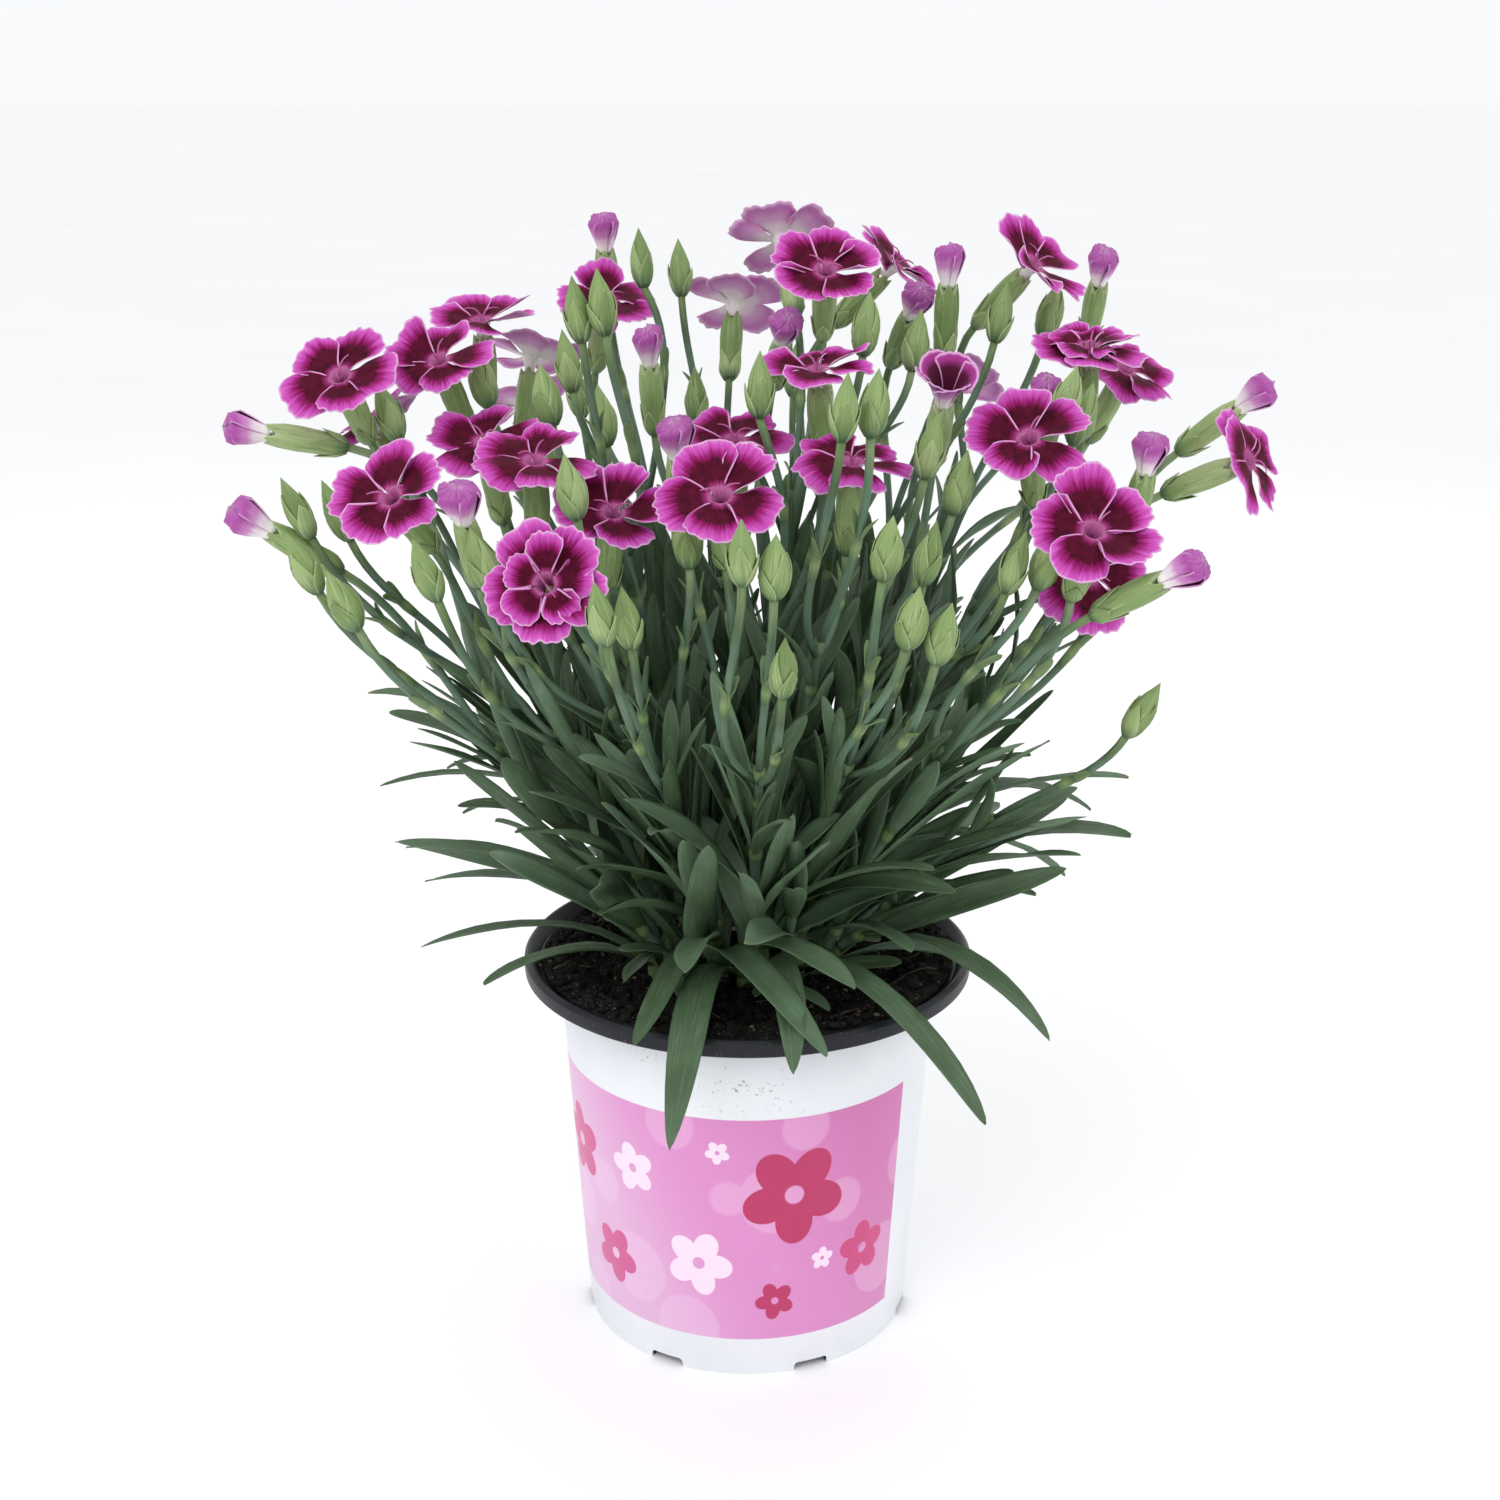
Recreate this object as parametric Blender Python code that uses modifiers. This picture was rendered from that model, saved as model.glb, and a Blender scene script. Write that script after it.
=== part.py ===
"""A dianthus in a nursery pot, in metres, with +Z up and the pot standing on z = 0.

The front of the plant faces -Y. Sizes and places below are in millimetres, and MM turns
them into metres where a mesh is made.
"""

import math
import random

import bmesh
import bpy
from mathutils import Vector
from mathutils.bvhtree import BVHTree

MM = 0.001
GAP = 0.3
LAYOUT_SEED = 16
SPIN_SEED = 11
UP = Vector((0.0, 0.0, 1.0))

# Pot: a black body with a wide rim, and the white layer that covers its wall
POT_HEIGHT = 104.8
RIM_RADIUS = 60.0
RIM_HEIGHT = 4.5
RIM_LIP = 2.4
RIM_SLOPE = 1.4
RIM_ROUND = 0.9
LEDGE = 101.9
WALL_TOP = 99.7
WALL_TOP_RADIUS = 50.8
WALL_FOOT_RADIUS = 44.5
SKIN = 0.6
WALL = 1.2
FLOOR_UNDERSIDE = 3.0
FLOOR_TOP = 4.4
BOSS_RADIUS = 14.0
TURNED_STEPS = 28

# Feet: the wall's lower edge is cut away between them
FEET = 7
NOTCH_WIDTH = 9.5
NOTCH_HEIGHT = 2.3
NOTCH_DEPTH = 8.0
FIRST_NOTCH = -29.0
DRAIN_RADIUS = 3.5
DRAIN_CIRCLE = 30.0
DRAIN_DEPTH = 10.0
DRAIN_SIDES = 8

# Soil: it fills the body and is banked up over the ledge inside the rim
SOIL_EDGE = 96.8
BANK_RADIUS = 55.2
BANK_HEIGHT = 102.9
SOIL_RISE = 2.2
SOIL_LUMP = 1.0
SOIL_SIDES = 20
SOIL_RINGS = (0.86, 0.72, 0.5, 0.25)

# Sprays: how the stems leave the crown and spread
ROOT_DEPTH = 12.0
ROOT_RADIUS = 2.4
ROOT_SIDES = 6
HOLE_RISE = 8.0
CROWN_BASE = 101.0
CROWN_STEP = 2.7
CROWN_LEVELS = 3
STEM_RADIUS = 1.35
BRANCH_RADIUS = 0.95
ROOT_SHARE = 0.25
BRANCH_LENGTH = 42.0
SIDE_STEM_PUSH = 5.5
SIDE_STEM_START = 1.2
CROWN_TO_JOINT = 42.0
FOOT_END = 0.1
OWN_WAY = 0.3
PUSH_END = 0.5
STALK_STATIONS = (0.45, 1.0)
NODE_HEIGHT = 2.4
CLEARANCE = 0.35
SLIDE = 3.0
SLIDES = 24

# Heads: lengths along the axis of a flower, back from the middle of its petals
BLOOM_RADIUS = 14.5
INNER_RADIUS = 9.5
INNER_RISE = 2.0
PETAL_THICKNESS = 0.8
CALYX_MOUTH = 6.0
CALYX_LENGTH = 19.0
CALYX_RADIUS = 2.9
CALYX_BELLY = 5.5
BUD_LENGTH = 16.0
BUD_RADIUS = 3.3
BUD_BELLY = 5.0
BUD_SHOULDER = 10.5
BUD_AIM = 60.0
BUD_LIFT = 0.45
GREEN_SIDES = 6
ROLL_SIDES = 8
ROLL_FOOT = 2.1
EYE = Vector((0.7, -520.0, 330.0))

# Half of one petal's edge and half of the next: degrees on from the valley between two
# petals, reach as a share of the flower's radius, and height over its plane. The petal
# stands proud at its first side, and has a tooth on both sides of a shallow notch.
PETALS = 5
PETAL_EDGE = (
    (0.0, 0.60, 0.10),
    (9.5, 0.92, 0.9),
    (26.0, 1.0, 0.3),
    (36.0, 0.93, 0.0),
    (46.0, 1.0, -0.3),
    (62.5, 0.92, -0.7),
)
THROAT_DEPTH = 1.6
CLAW_RADIUS = 2.2

# Each spray is a list of stems. A stem is a list of heads, and a head is its kind, its
# place x, y, z, and where an open flower faces: degrees to the right of the front, then
# degrees up from level. A closed bud points away from the crown.
SPRAYS = (
    (
        (("half", -124, -5, 245, -78, 12), ("bud", -99, -25, 229), ("bud", -107, -32, 231)),
        (("half", -117, -36, 229, -70, 35), ("bud", -103, -47, 221), ("bud", -93, -54, 214)),
    ),
    (
        (("bloom", -83, -42, 236, -22, 42), ("half", -66, -46, 235, -10, 62), ("bud", -73, -58, 222)),
        (("bloom", -50, -32, 243, 5, 72), ("bud", -40, -52, 240), ("bud", -62, -46, 222)),
    ),
    (
        (("bloom", -100, -6, 259, -14, 50), ("bloom", -99, 22, 244, -100, 55)),
        (("bloom", -80, 24, 259, -25, 58), ("bud", -92, 14, 247)),
    ),
    (
        (("bloom", -71, 46, 267, 0, 80), ("bloom", -60, 64, 255, 170, 66), ("bud", -69, 24, 254)),
        (("bloom", -66, 100, 236, -145, 50), ("bud", -50, 96, 240)),
    ),
    (
        (("double", -44, -76, 223, -6, 27), ("bud", -27, -66, 213), ("bud", -32, -78, 217)),
        (("bloom", -31, -44, 233, 12, 60), ("bud", -14, -40, 226)),
    ),
    (
        (("bud", -35, -12, 277), ("bud", -41, -10, 275), ("bud", -46, 18, 259), ("bud", -50, 0, 253)),
        (("bloom", -39, 66, 270, 20, 60), ("half", -40, 76, 287, -5, 70), ("bud", -29, 62, 281)),
        (("bud", -37, 12, 246), ("bloom", -66, 2, 242, -20, 70)),
    ),
    (
        (("bloom", -4, 88, 267, 175, 56), ("bud", -19, 78, 277)),
        (("half", -26, 32, 261, -10, 75), ("half", 10, 34, 265, 10, 45), ("bud", -14, 52, 245)),
        (("bud", 14, 110, 244), ("bud", 22, 104, 238)),
    ),
    (
        (("bloom", 9, 62, 287, 195, 52), ("bloom", 20, 22, 282, 0, 52)),
        (("bloom", 41, 62, 280, 78, 45), ("bud", 30, 12, 269), ("bud", 44, 28, 263)),
    ),
    (
        (("bloom", -6, -55, 239, -4, 54), ("half", -17, -22, 246, -8, 70)),
        (("bud", -1, -93, 234), ("bud", 6, -89, 230), ("bud", 8, -86, 207)),
    ),
    (
        (("bloom", 17, -6, 261, -30, 80), ("bloom", -3, -8, 244, 0, 74), ("bud", 3, -24, 259)),
        (("bud", 22, -52, 258), ("bud", 29, -46, 258), ("bloom", 25, -28, 242, 8, 76)),
    ),
    (
        (("trumpet", 48, -15, 257, 6, 58), ("bud", 43, -34, 246), ("bud", 51, -26, 236)),
        (("half", 45, 46, 271, 20, 50), ("half", 52, 30, 282, 0, 78), ("bud", 66, 30, 270)),
    ),
    (
        (("bloom", 67, -25, 247, -16, 52), ("half", 75, 6, 252, 5, 70), ("bud", 62, -50, 222)),
        (("bud", 31, -71, 230), ("bud", 41, -62, 227), ("bud", 36, -82, 217), ("bud", 43, -80, 213)),
    ),
    (
        (("bloom", 78, -60, 232, 8, 52), ("half", 96, -72, 225, 55, 32), ("bud", 70, -46, 222)),
        (("bloom", 82, -35, 216, 6, 28), ("half", 97, -20, 242, 10, 68)),
        (("bud", 95, -42, 184),),
        (("bloom", 124, -12, 239, 58, 26), ("half", 128, 6, 252, 62, 40)),
    ),
    (
        (("double", 87, 15, 263, 0, 76), ("bud", 84, 2, 248), ("bud", 79, -4, 253)),
        (("bloom", 76, 40, 282, 58, 46), ("half", 98, 70, 278, 5, 62), ("bud", 82, 52, 268)),
        (("bloom", 102, 44, 254, 40, 60), ("bloom", 62, 96, 244, 140, 50)),
    ),
)

# Long leaves that reach out over the rim: tip x, y, z and width
RIM_LEAVES = (
    (-18, -88, 91, 9.5),
    (57, -74, 90, 8.5),
    (11, -75, 104, 8.5),
    (19, -70, 106, 12.0),
    (-27, -68, 108, 7.5),
    (-66, -42, 112, 8.0),
    (-86, -14, 110, 6.0),
    (-88, 10, 119, 6.5),
    (63, -22, 106, 9.0),
    (84, -6, 127, 9.5),
    (102, 0, 136, 12.5),
    (93, 12, 139, 9.0),
    (-79, 0, 155, 6.5),
    (-99, 2, 175, 5.0),
    (-76, 4, 141, 6.5),
    (-98, 6, 148, 3.5),
    (-52, 62, 108, 8.0),
    (-20, 84, 104, 9.0),
    (26, 80, 112, 8.0),
    (60, 60, 104, 9.0),
    (-64, 56, 118, 8.5),
)
LEAF_THICKNESS = 0.9
LEAF_GROOVE = 0.24
LEAF_STATIONS = (0.3, 0.68)
LEAF_WIDEST = 0.35
RIM_CLEAR = 113.0

# Leaf pairs up a stem: how far up, then length, width and the angles at base and tip
PAIRS = (
    (0.13, 66.0, 8.4, 32.0, 66.0),
    (0.36, 56.0, 7.4, 24.0, 50.0),
    (0.60, 44.0, 6.2, 20.0, 42.0),
    (0.86, 27.0, 4.6, 18.0, 40.0),
)
LEAF_DRAWS = 24
STEM_DRAWS = 80


def share(height):
    """How far out a stem has gone, from the crown at 0 to its heads at 1."""
    return ROOT_SHARE + (1.0 - ROOT_SHARE) * (0.78 * height + 0.22 * height * height)


def facing(azimuth, tilt):
    """The direction that a flower faces."""
    turn = math.radians(azimuth)
    rise = math.radians(tilt)
    return Vector((math.sin(turn) * math.cos(rise), -math.cos(turn) * math.cos(rise), math.sin(rise)))


def square_to(direction, hint):
    """The part of a hint that is square to a direction, at unit length."""
    flat = hint - direction * direction.dot(hint)
    return flat.normalized()


def across(direction):
    """Two directions square to this one, which turn to the left seen from its end."""
    hint = Vector((0.0, 0.0, 1.0)) if abs(direction.z) < 0.9 else Vector((0.0, 1.0, 0.0))
    one = square_to(direction, hint)
    return one, direction.cross(one)


def bezier(curve, t):
    """A point on a cubic curve through its four control points."""
    a, b, c, d = curve
    s = 1.0 - t
    return a * s**3 + b * (3 * s * s * t) + c * (3 * s * t * t) + d * t**3


def heading(curve, t):
    """The direction in which a cubic curve runs at t."""
    a, b, c, d = curve
    s = 1.0 - t
    return ((b - a) * (s * s) + (c - b) * (2 * s * t) + (d - c) * (t * t)).normalized()


def ring(centre, direction, radius, sides, first=None, fold=0.0):
    """Points to the left round an axis, from a first direction. A fold draws every second one in."""
    one = across(direction)[0] if first is None else square_to(direction, first)
    two = direction.cross(one)
    points = []
    for i in range(sides):
        angle = math.tau * i / sides
        reach = radius * (1.0 - fold * (i % 2))
        points.append(centre + (one * math.cos(angle) + two * math.sin(angle)) * reach)
    return points


class Skin:
    """A closed skin that grows ring by ring, with limbs out of the openings in its walls."""

    def __init__(self):
        self.points = []
        self.faces = []

    def ring(self, points):
        first = len(self.points)
        self.points += points
        return list(range(first, first + len(points)))

    def cap(self, ring, facing_back=False):
        """Closes the end of a limb, or its start."""
        for i in range(1, len(ring) - 1):
            face = (ring[0], ring[i], ring[i + 1])
            self.faces.append(face[::-1] if facing_back else face)

    def wall(self, lower, upper, left_open=()):
        """Joins two rings and gives back the four-sided openings that it was told to leave.

        The diagonals run alike on both faces of a blade, from even corners to odd ones.
        """
        count, above = len(lower), len(upper)
        openings = {}
        if count == above:
            for i in range(count):
                j = (i + 1) % count
                if i in left_open:
                    openings[i] = [lower[i], lower[j], upper[j], upper[i]]
                elif i % 2 == 0:
                    self.faces.append((lower[i], lower[j], upper[j]))
                    self.faces.append((lower[i], upper[j], upper[i]))
                else:
                    self.faces.append((lower[i], lower[j], upper[i]))
                    self.faces.append((lower[j], upper[j], upper[i]))
            return openings
        i = j = 0
        while i < count or j < above:
            step_low = above == 1 or (i < count and (i + 1) * above <= (j + 1) * count)
            if count == 1:
                step_low = False
            if step_low:
                self.faces.append((lower[i], lower[(i + 1) % count], upper[j % above]))
                i += 1
            else:
                self.faces.append((lower[i % count], upper[(j + 1) % above], upper[j]))
                j += 1
            if above == 1 and i == count or count == 1 and j == above:
                break
        return openings

    def grow(self, opening, sections):
        """A limb from an opening through sections to its closed end."""
        last = opening
        for section in sections:
            upper = self.ring(section)
            self.wall(last, upper)
            last = upper
        if len(last) > 1:
            self.cap(last)
        return last


def loft(rings):
    """Points and triangles of the closed skin over unlike rings. A ring of one point is a tip."""
    skin = Skin()
    first = skin.ring(rings[0])
    if len(first) > 1:
        skin.cap(first, True)
    skin.grow(first, rings[1:])
    return skin.points, skin.faces


def path_shape(points, radius, sides=6):
    """A closed tube along a row of points."""
    rings = []
    for i, point in enumerate(points):
        before = points[max(i - 1, 0)]
        after = points[min(i + 1, len(points) - 1)]
        rings.append(ring(point, (after - before).normalized(), radius, sides))
    return loft(rings)


def leaf_width(t):
    """The share of a leaf's full width at t along it."""
    base = 0.5 + 0.5 * math.sin(min(t / LEAF_WIDEST, 1.0) * math.pi / 2)
    return base * (1.0 - max(0.0, (t - LEAF_WIDEST) / (1.0 - LEAF_WIDEST)) ** 2.2)


def leaf_sections(leaf, stations=LEAF_STATIONS, extra=0.0):
    """A grooved blade that narrows to a point: left edge, keel, right edge and groove at each station."""
    sections = []
    for t in stations:
        point = bezier(leaf["curve"], t)
        run = heading(leaf["curve"], t)
        face = square_to(run, leaf["face"])
        side = run.cross(face)
        half = leaf["width"] / 2 * leaf_width(t) + extra
        lift = face * (half * LEAF_GROOVE)
        thick = face * (LEAF_THICKNESS / 2 * (1.0 - 0.3 * t) + extra)
        left = point + side * half + lift
        right = point - side * half + lift
        sections.append([left, point - thick, right, point + thick])
    sections.append([bezier(leaf["curve"], 1.0) + heading(leaf["curve"], 1.0) * extra])
    return sections


def leaf_shape(leaf, start, extra=0.0):
    """A leaf from a share of the way between the opening it grows from and its first section."""
    sections = leaf_sections(leaf, extra=extra)
    centre = sum(leaf["gap"], Vector((0.0, 0.0, 0.0))) / 4
    foot = []
    for corner, point in zip(leaf["gap"], sections[0]):
        wide = corner + (corner - centre).normalized() * extra
        foot.append(wide.lerp(point, start))
    return loft([foot, *sections])


def calyx_sections(head, first=None, extra=0.0):
    """The green tube that holds the petals, widest near its mouth."""
    axis = head["axis"]
    mouth = head["centre"] - axis * CALYX_MOUTH
    base = mouth - axis * CALYX_LENGTH
    return [
        ring(base + axis * CALYX_BELLY, axis, CALYX_RADIUS * 0.9 + extra, GREEN_SIDES, first),
        ring(mouth, axis, CALYX_RADIUS + extra, GREEN_SIDES, first),
    ]


def bud_sections(head, first=None, extra=0.0):
    """A closed bud, pointed at its tip."""
    axis = head["axis"]
    base = head["centre"] - axis * (BUD_LENGTH / 2)
    return [
        ring(base + axis * BUD_BELLY, axis, BUD_RADIUS + extra, GREEN_SIDES, first),
        ring(base + axis * BUD_SHOULDER, axis, BUD_RADIUS * 0.86 + extra, GREEN_SIDES, first),
        [base + axis * (BUD_LENGTH + extra)],
    ]


def green_sections(head, first=None, extra=0.0):
    if head["kind"] == "bud":
        return bud_sections(head, first, extra)
    return calyx_sections(head, first, extra)


def green_shape(head, extra=0.0):
    """The calyx or the bud from the end of its stalk on."""
    foot = ring(head_base(head) - head["axis"] * extra, head["axis"], BRANCH_RADIUS + extra, GREEN_SIDES)
    return loft([foot, *green_sections(head, None, extra)])


def opening_shape(head, extra=0.0):
    """The petals of a flower that is opening: a folded roll, or a trumpet with a hollow top."""
    axis = head["axis"]
    foot = head["centre"] - axis * (CALYX_MOUTH - GAP)
    if head["kind"] == "half":
        rings = [
            ring(foot, axis, ROLL_FOOT + extra, ROLL_SIDES),
            ring(foot + axis * 5.5, axis, 3.9 + extra, ROLL_SIDES, fold=0.18),
            ring(foot + axis * 9.0, axis, 3.2 + extra, ROLL_SIDES, fold=0.25),
            [foot + axis * (11.5 + extra)],
        ]
    else:
        rings = [
            ring(foot, axis, ROLL_FOOT + extra, ROLL_SIDES),
            ring(foot + axis * 6.0, axis, 4.2 + extra, ROLL_SIDES, fold=0.15),
            ring(foot + axis * (11.0 + extra), axis, 7.6 + extra, ROLL_SIDES, fold=0.18),
            [foot + axis * (9.0 + 3 * extra)],
        ]
    return loft(rings)


def bloom_hull(head, extra=0.0):
    """The space that an open flower takes up."""
    centre, axis = head["centre"], head["axis"]
    radius = BLOOM_RADIUS + extra
    rings = [
        ring(centre - axis * CALYX_MOUTH, axis, 2.6, 12),
        ring(centre - axis * 2.4, axis, radius, 12),
        ring(centre + axis * (1.4 + extra), axis, radius, 12),
        [centre + axis * (1.6 + extra)],
    ]
    return loft(rings)


def corolla(centre, axis, radius, spin):
    """Five overlapping petals with a toothed edge, and the narrow claw under them."""
    one, two = across(axis)
    turn = 360.0 / PETALS
    count = len(PETAL_EDGE)

    def at(angle, reach, height):
        way = math.radians(angle) + spin
        return centre + (one * math.cos(way) + two * math.sin(way)) * reach + axis * height

    inner = [at(turn * i, radius * 0.4, 0.3) for i in range(PETALS)]
    edge = []
    for i in range(PETALS):
        for angle, reach, height in PETAL_EDGE:
            edge.append(at(turn * i + angle, radius * reach, height))
    down = axis * PETAL_THICKNESS
    claw = [at(turn * i, CLAW_RADIUS, GAP - CALYX_MOUTH) for i in range(PETALS)]
    points = [centre - axis * THROAT_DEPTH] + inner + edge
    points += [point - down for point in inner] + [point - down for point in edge] + claw
    top_inner = 1
    top_edge = top_inner + PETALS
    low_inner = top_edge + len(edge)
    low_edge = low_inner + PETALS
    low_claw = low_edge + len(edge)
    faces = []
    for i in range(PETALS):
        j = (i + 1) % PETALS
        faces.append((0, top_inner + i, top_inner + j))
        fan = [count * i + k for k in range(count)] + [count * j]
        middle_step = count // 2
        for k in range(count):
            hub = i if k < middle_step else j
            faces.append((top_inner + hub, top_edge + fan[k], top_edge + fan[k + 1]))
            faces.append((low_inner + hub, low_edge + fan[k + 1], low_edge + fan[k]))
            faces.append((top_edge + fan[k], low_edge + fan[k], low_edge + fan[k + 1]))
            faces.append((top_edge + fan[k], low_edge + fan[k + 1], top_edge + fan[k + 1]))
        faces.append((top_inner + i, top_edge + fan[middle_step], top_inner + j))
        faces.append((low_inner + i, low_inner + j, low_edge + fan[middle_step]))
        faces.append((low_inner + i, low_claw + i, low_claw + j))
        faces.append((low_inner + i, low_claw + j, low_inner + j))
    for i in range(1, PETALS - 1):
        faces.append((low_claw, low_claw + i + 1, low_claw + i))
    return points, faces


class Placed:
    """The shapes that stand already, so that a new one is bent clear of them."""

    def __init__(self):
        self.shapes = []

    def add(self, key, shape):
        points, faces = shape
        tree = BVHTree.FromPolygons(points, faces)
        self.shapes.append((key, tree, *limits(points)))

    def clear(self, shape, ignored=()):
        """Whether a shape crosses none of those placed, but for those with an ignored key."""
        points, faces = shape
        low, high = limits(points)
        tree = None
        for key, other, other_low, other_high in self.shapes:
            if key in ignored:
                continue
            if any(low[k] > other_high[k] or high[k] < other_low[k] for k in range(3)):
                continue
            if tree is None:
                tree = BVHTree.FromPolygons(points, faces)
            if tree.overlap(other):
                return False
        return True


def limits(points):
    low = [min(point[k] for point in points) for k in range(3)]
    high = [max(point[k] for point in points) for k in range(3)]
    return low, high


def wall_radius(height):
    """The outer radius of the white wall."""
    return WALL_FOOT_RADIUS + (WALL_TOP_RADIUS - WALL_FOOT_RADIUS) * height / WALL_TOP


def pot_profile():
    """The black body in half section, from the middle of its floor over the rim and back."""
    outside = SKIN + GAP
    inside = outside + WALL
    return (
        (0.0, FLOOR_TOP),
        (wall_radius(FLOOR_TOP) - inside, FLOOR_TOP),
        (wall_radius(WALL_TOP) - inside, WALL_TOP + GAP + WALL),
        (RIM_RADIUS - RIM_LIP - RIM_SLOPE, LEDGE),
        (RIM_RADIUS - RIM_LIP, POT_HEIGHT - RIM_ROUND),
        (RIM_RADIUS - RIM_LIP + RIM_ROUND, POT_HEIGHT),
        (RIM_RADIUS - RIM_ROUND, POT_HEIGHT),
        (RIM_RADIUS, POT_HEIGHT - RIM_ROUND),
        (RIM_RADIUS, POT_HEIGHT - RIM_HEIGHT + 0.4),
        (RIM_RADIUS - 0.5, POT_HEIGHT - RIM_HEIGHT),
        (WALL_TOP_RADIUS + 0.4, WALL_TOP + GAP),
        (wall_radius(WALL_TOP) - outside, WALL_TOP + GAP),
        (wall_radius(0.0) - outside, 0.0),
        (wall_radius(0.0) - inside - 0.2, 0.0),
        (wall_radius(FLOOR_UNDERSIDE) - inside - 0.2, FLOOR_UNDERSIDE),
        (BOSS_RADIUS, FLOOR_UNDERSIDE),
        (BOSS_RADIUS - 1.0, 0.0),
        (0.0, 0.0),
    )


def skin_profile():
    """The white layer of the wall in half section, all the way round."""
    return (
        (wall_radius(WALL_TOP), WALL_TOP),
        (wall_radius(0.0), 0.0),
        (wall_radius(0.0) - SKIN, 0.0),
        (wall_radius(WALL_TOP) - SKIN, WALL_TOP),
    )


def soil_height(x, y):
    """The lumpy top of the soil, a little higher in the middle."""
    edge = min(math.hypot(x, y) / BANK_RADIUS, 1.0)
    top, foot = SOIL_RINGS[:2]
    bank = min(max(edge - foot, 0.0) / (top - foot), 1.0)
    lumps = math.sin(0.31 * x + 1.3) * math.cos(0.27 * y) + 0.7 * math.sin(0.53 * x - 0.41 * y)
    level = SOIL_EDGE + (1.0 - edge**2) * SOIL_RISE + lumps * SOIL_LUMP
    return level + (BANK_HEIGHT - level) * bank


def soil_shape():
    """The soil fills the pot to just under its rim."""
    inset = SKIN + WALL + 3 * GAP
    foot = FLOOR_TOP + GAP
    neck = WALL_TOP + WALL + 3 * GAP
    side = (
        (foot, wall_radius(FLOOR_TOP) - inset),
        (neck, wall_radius(WALL_TOP) - inset),
        (LEDGE + GAP, BANK_RADIUS),
        (BANK_HEIGHT, BANK_RADIUS),
    )
    rings = [[UP * foot]]
    rings += [ring(UP * height, UP, radius, SOIL_SIDES) for height, radius in side]
    for reach in SOIL_RINGS:
        level = ring(UP * 0.0, UP, BANK_RADIUS * reach, SOIL_SIDES)
        rings.append([Vector((p.x, p.y, soil_height(p.x, p.y))) for p in level])
    rings.append([UP * soil_height(0.0, 0.0)])
    return loft(rings)


def turned_shape(profile):
    """The skin that a profile sweeps round the pot's axis."""
    rings = []
    for radius, height in profile:
        centre = UP * height
        rings.append([centre] if radius == 0.0 else ring(centre, UP, radius, TURNED_STEPS))
    return loft(rings)


def read_head(entry):
    """A head as its kind, the middle of its petals and its axis."""
    kind = entry[0]
    centre = Vector(entry[1:4])
    if len(entry) > 4:
        axis = facing(entry[4], entry[5])
    else:
        away = (centre - UP * BUD_AIM).normalized()
        axis = (away + UP * BUD_LIFT).normalized()
    return {"kind": kind, "centre": centre, "axis": axis}


def head_shapes(head, extra=0.0):
    """The shapes of a head: its petals' space, then the green part under them."""
    if head["kind"] == "bud":
        return None, green_shape(head, extra)
    if head["kind"] in ("half", "trumpet"):
        return opening_shape(head, extra), green_shape(head, extra)
    return bloom_hull(head, extra), green_shape(head, extra)


def head_base(head):
    """Where the stalk meets a head."""
    length = BUD_LENGTH / 2 if head["kind"] == "bud" else CALYX_MOUTH + CALYX_LENGTH
    return head["centre"] - head["axis"] * length


def place_heads(placed):
    """Reads the table and slides each head along the line of sight until it is clear."""
    sprays = []
    for s, stems in enumerate(SPRAYS):
        spray = []
        for m, entries in enumerate(stems):
            heads = []
            for h, entry in enumerate(entries):
                head = read_head(entry)
                home = head["centre"].copy()
                sight = (home - EYE).normalized()
                for step in range(SLIDES):
                    slide = (step + 1) // 2 * SLIDE * (1 if step % 2 else -1)
                    head["centre"] = home + sight * slide
                    petals, green = head_shapes(head, CLEARANCE)
                    if placed.clear(green) and (petals is None or placed.clear(petals)):
                        break
                head["key"] = ("head", s, m, h)
                petals, green = head_shapes(head)
                placed.add(head["key"], green)
                if petals:
                    placed.add(head["key"], petals)
                heads.append(head)
            spray.append(heads)
        sprays.append(spray)
    return sprays


def middle(heads):
    """The mean of the places where the stalks end."""
    total = Vector((0.0, 0.0, 0.0))
    for head in heads:
        total += head_base(head)
    return total / len(heads)


def stem_point(stem, height):
    """Where a stem is at a share of its height, spreading from the crown towards its heads."""
    rise = (stem["top"] - stem["foot"].z) * height
    whole = rise / (stem["end"].z - stem["foot"].z)
    blend = min(1.0, height / OWN_WAY)
    out = (stem["hub"] * (1.0 - blend) + stem["end"] * blend) * share(whole)
    out += stem["bend"] * math.sin(math.pi * height) + stem["push"] * max(0.0, 1.0 - height / PUSH_END)
    start = max(0.0, 1.0 - height / FOOT_END)
    point = Vector((out.x, out.y, stem["foot"].z + rise))
    level = Vector((stem["foot"].x, stem["foot"].y, point.z))
    return point.lerp(level, start)


def stem_heading(stem, height):
    low = stem_point(stem, max(height - 0.03, 0.0))
    return (stem_point(stem, height + 0.03) - low).normalized()


def stem_stations(stem):
    """The heights of a stem's rings: two at each joint, with the joint's pair of leaves or None."""
    half = NODE_HEIGHT / 2 / (stem["top"] - stem["foot"].z)
    joints = [(height, k) for k, (height, *_) in enumerate(PAIRS)] + [(1.0 - 3 * half, None)]
    return [(height - half, height + half, k) for height, k in joints]


def stem_ring(stem, height):
    """A stem's four corners at a share of its height."""
    radius = STEM_RADIUS * (1.12 - 0.22 * height)
    return ring(stem_point(stem, height), stem_heading(stem, height), radius, 4, stem["first"])


def stem_gap(stem, low, high, side):
    """The four corners of one side of a joint."""
    lower, upper = stem_ring(stem, low), stem_ring(stem, high)
    after = (side + 1) % 4
    return [lower[side], lower[after], upper[after], upper[side]]


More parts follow.
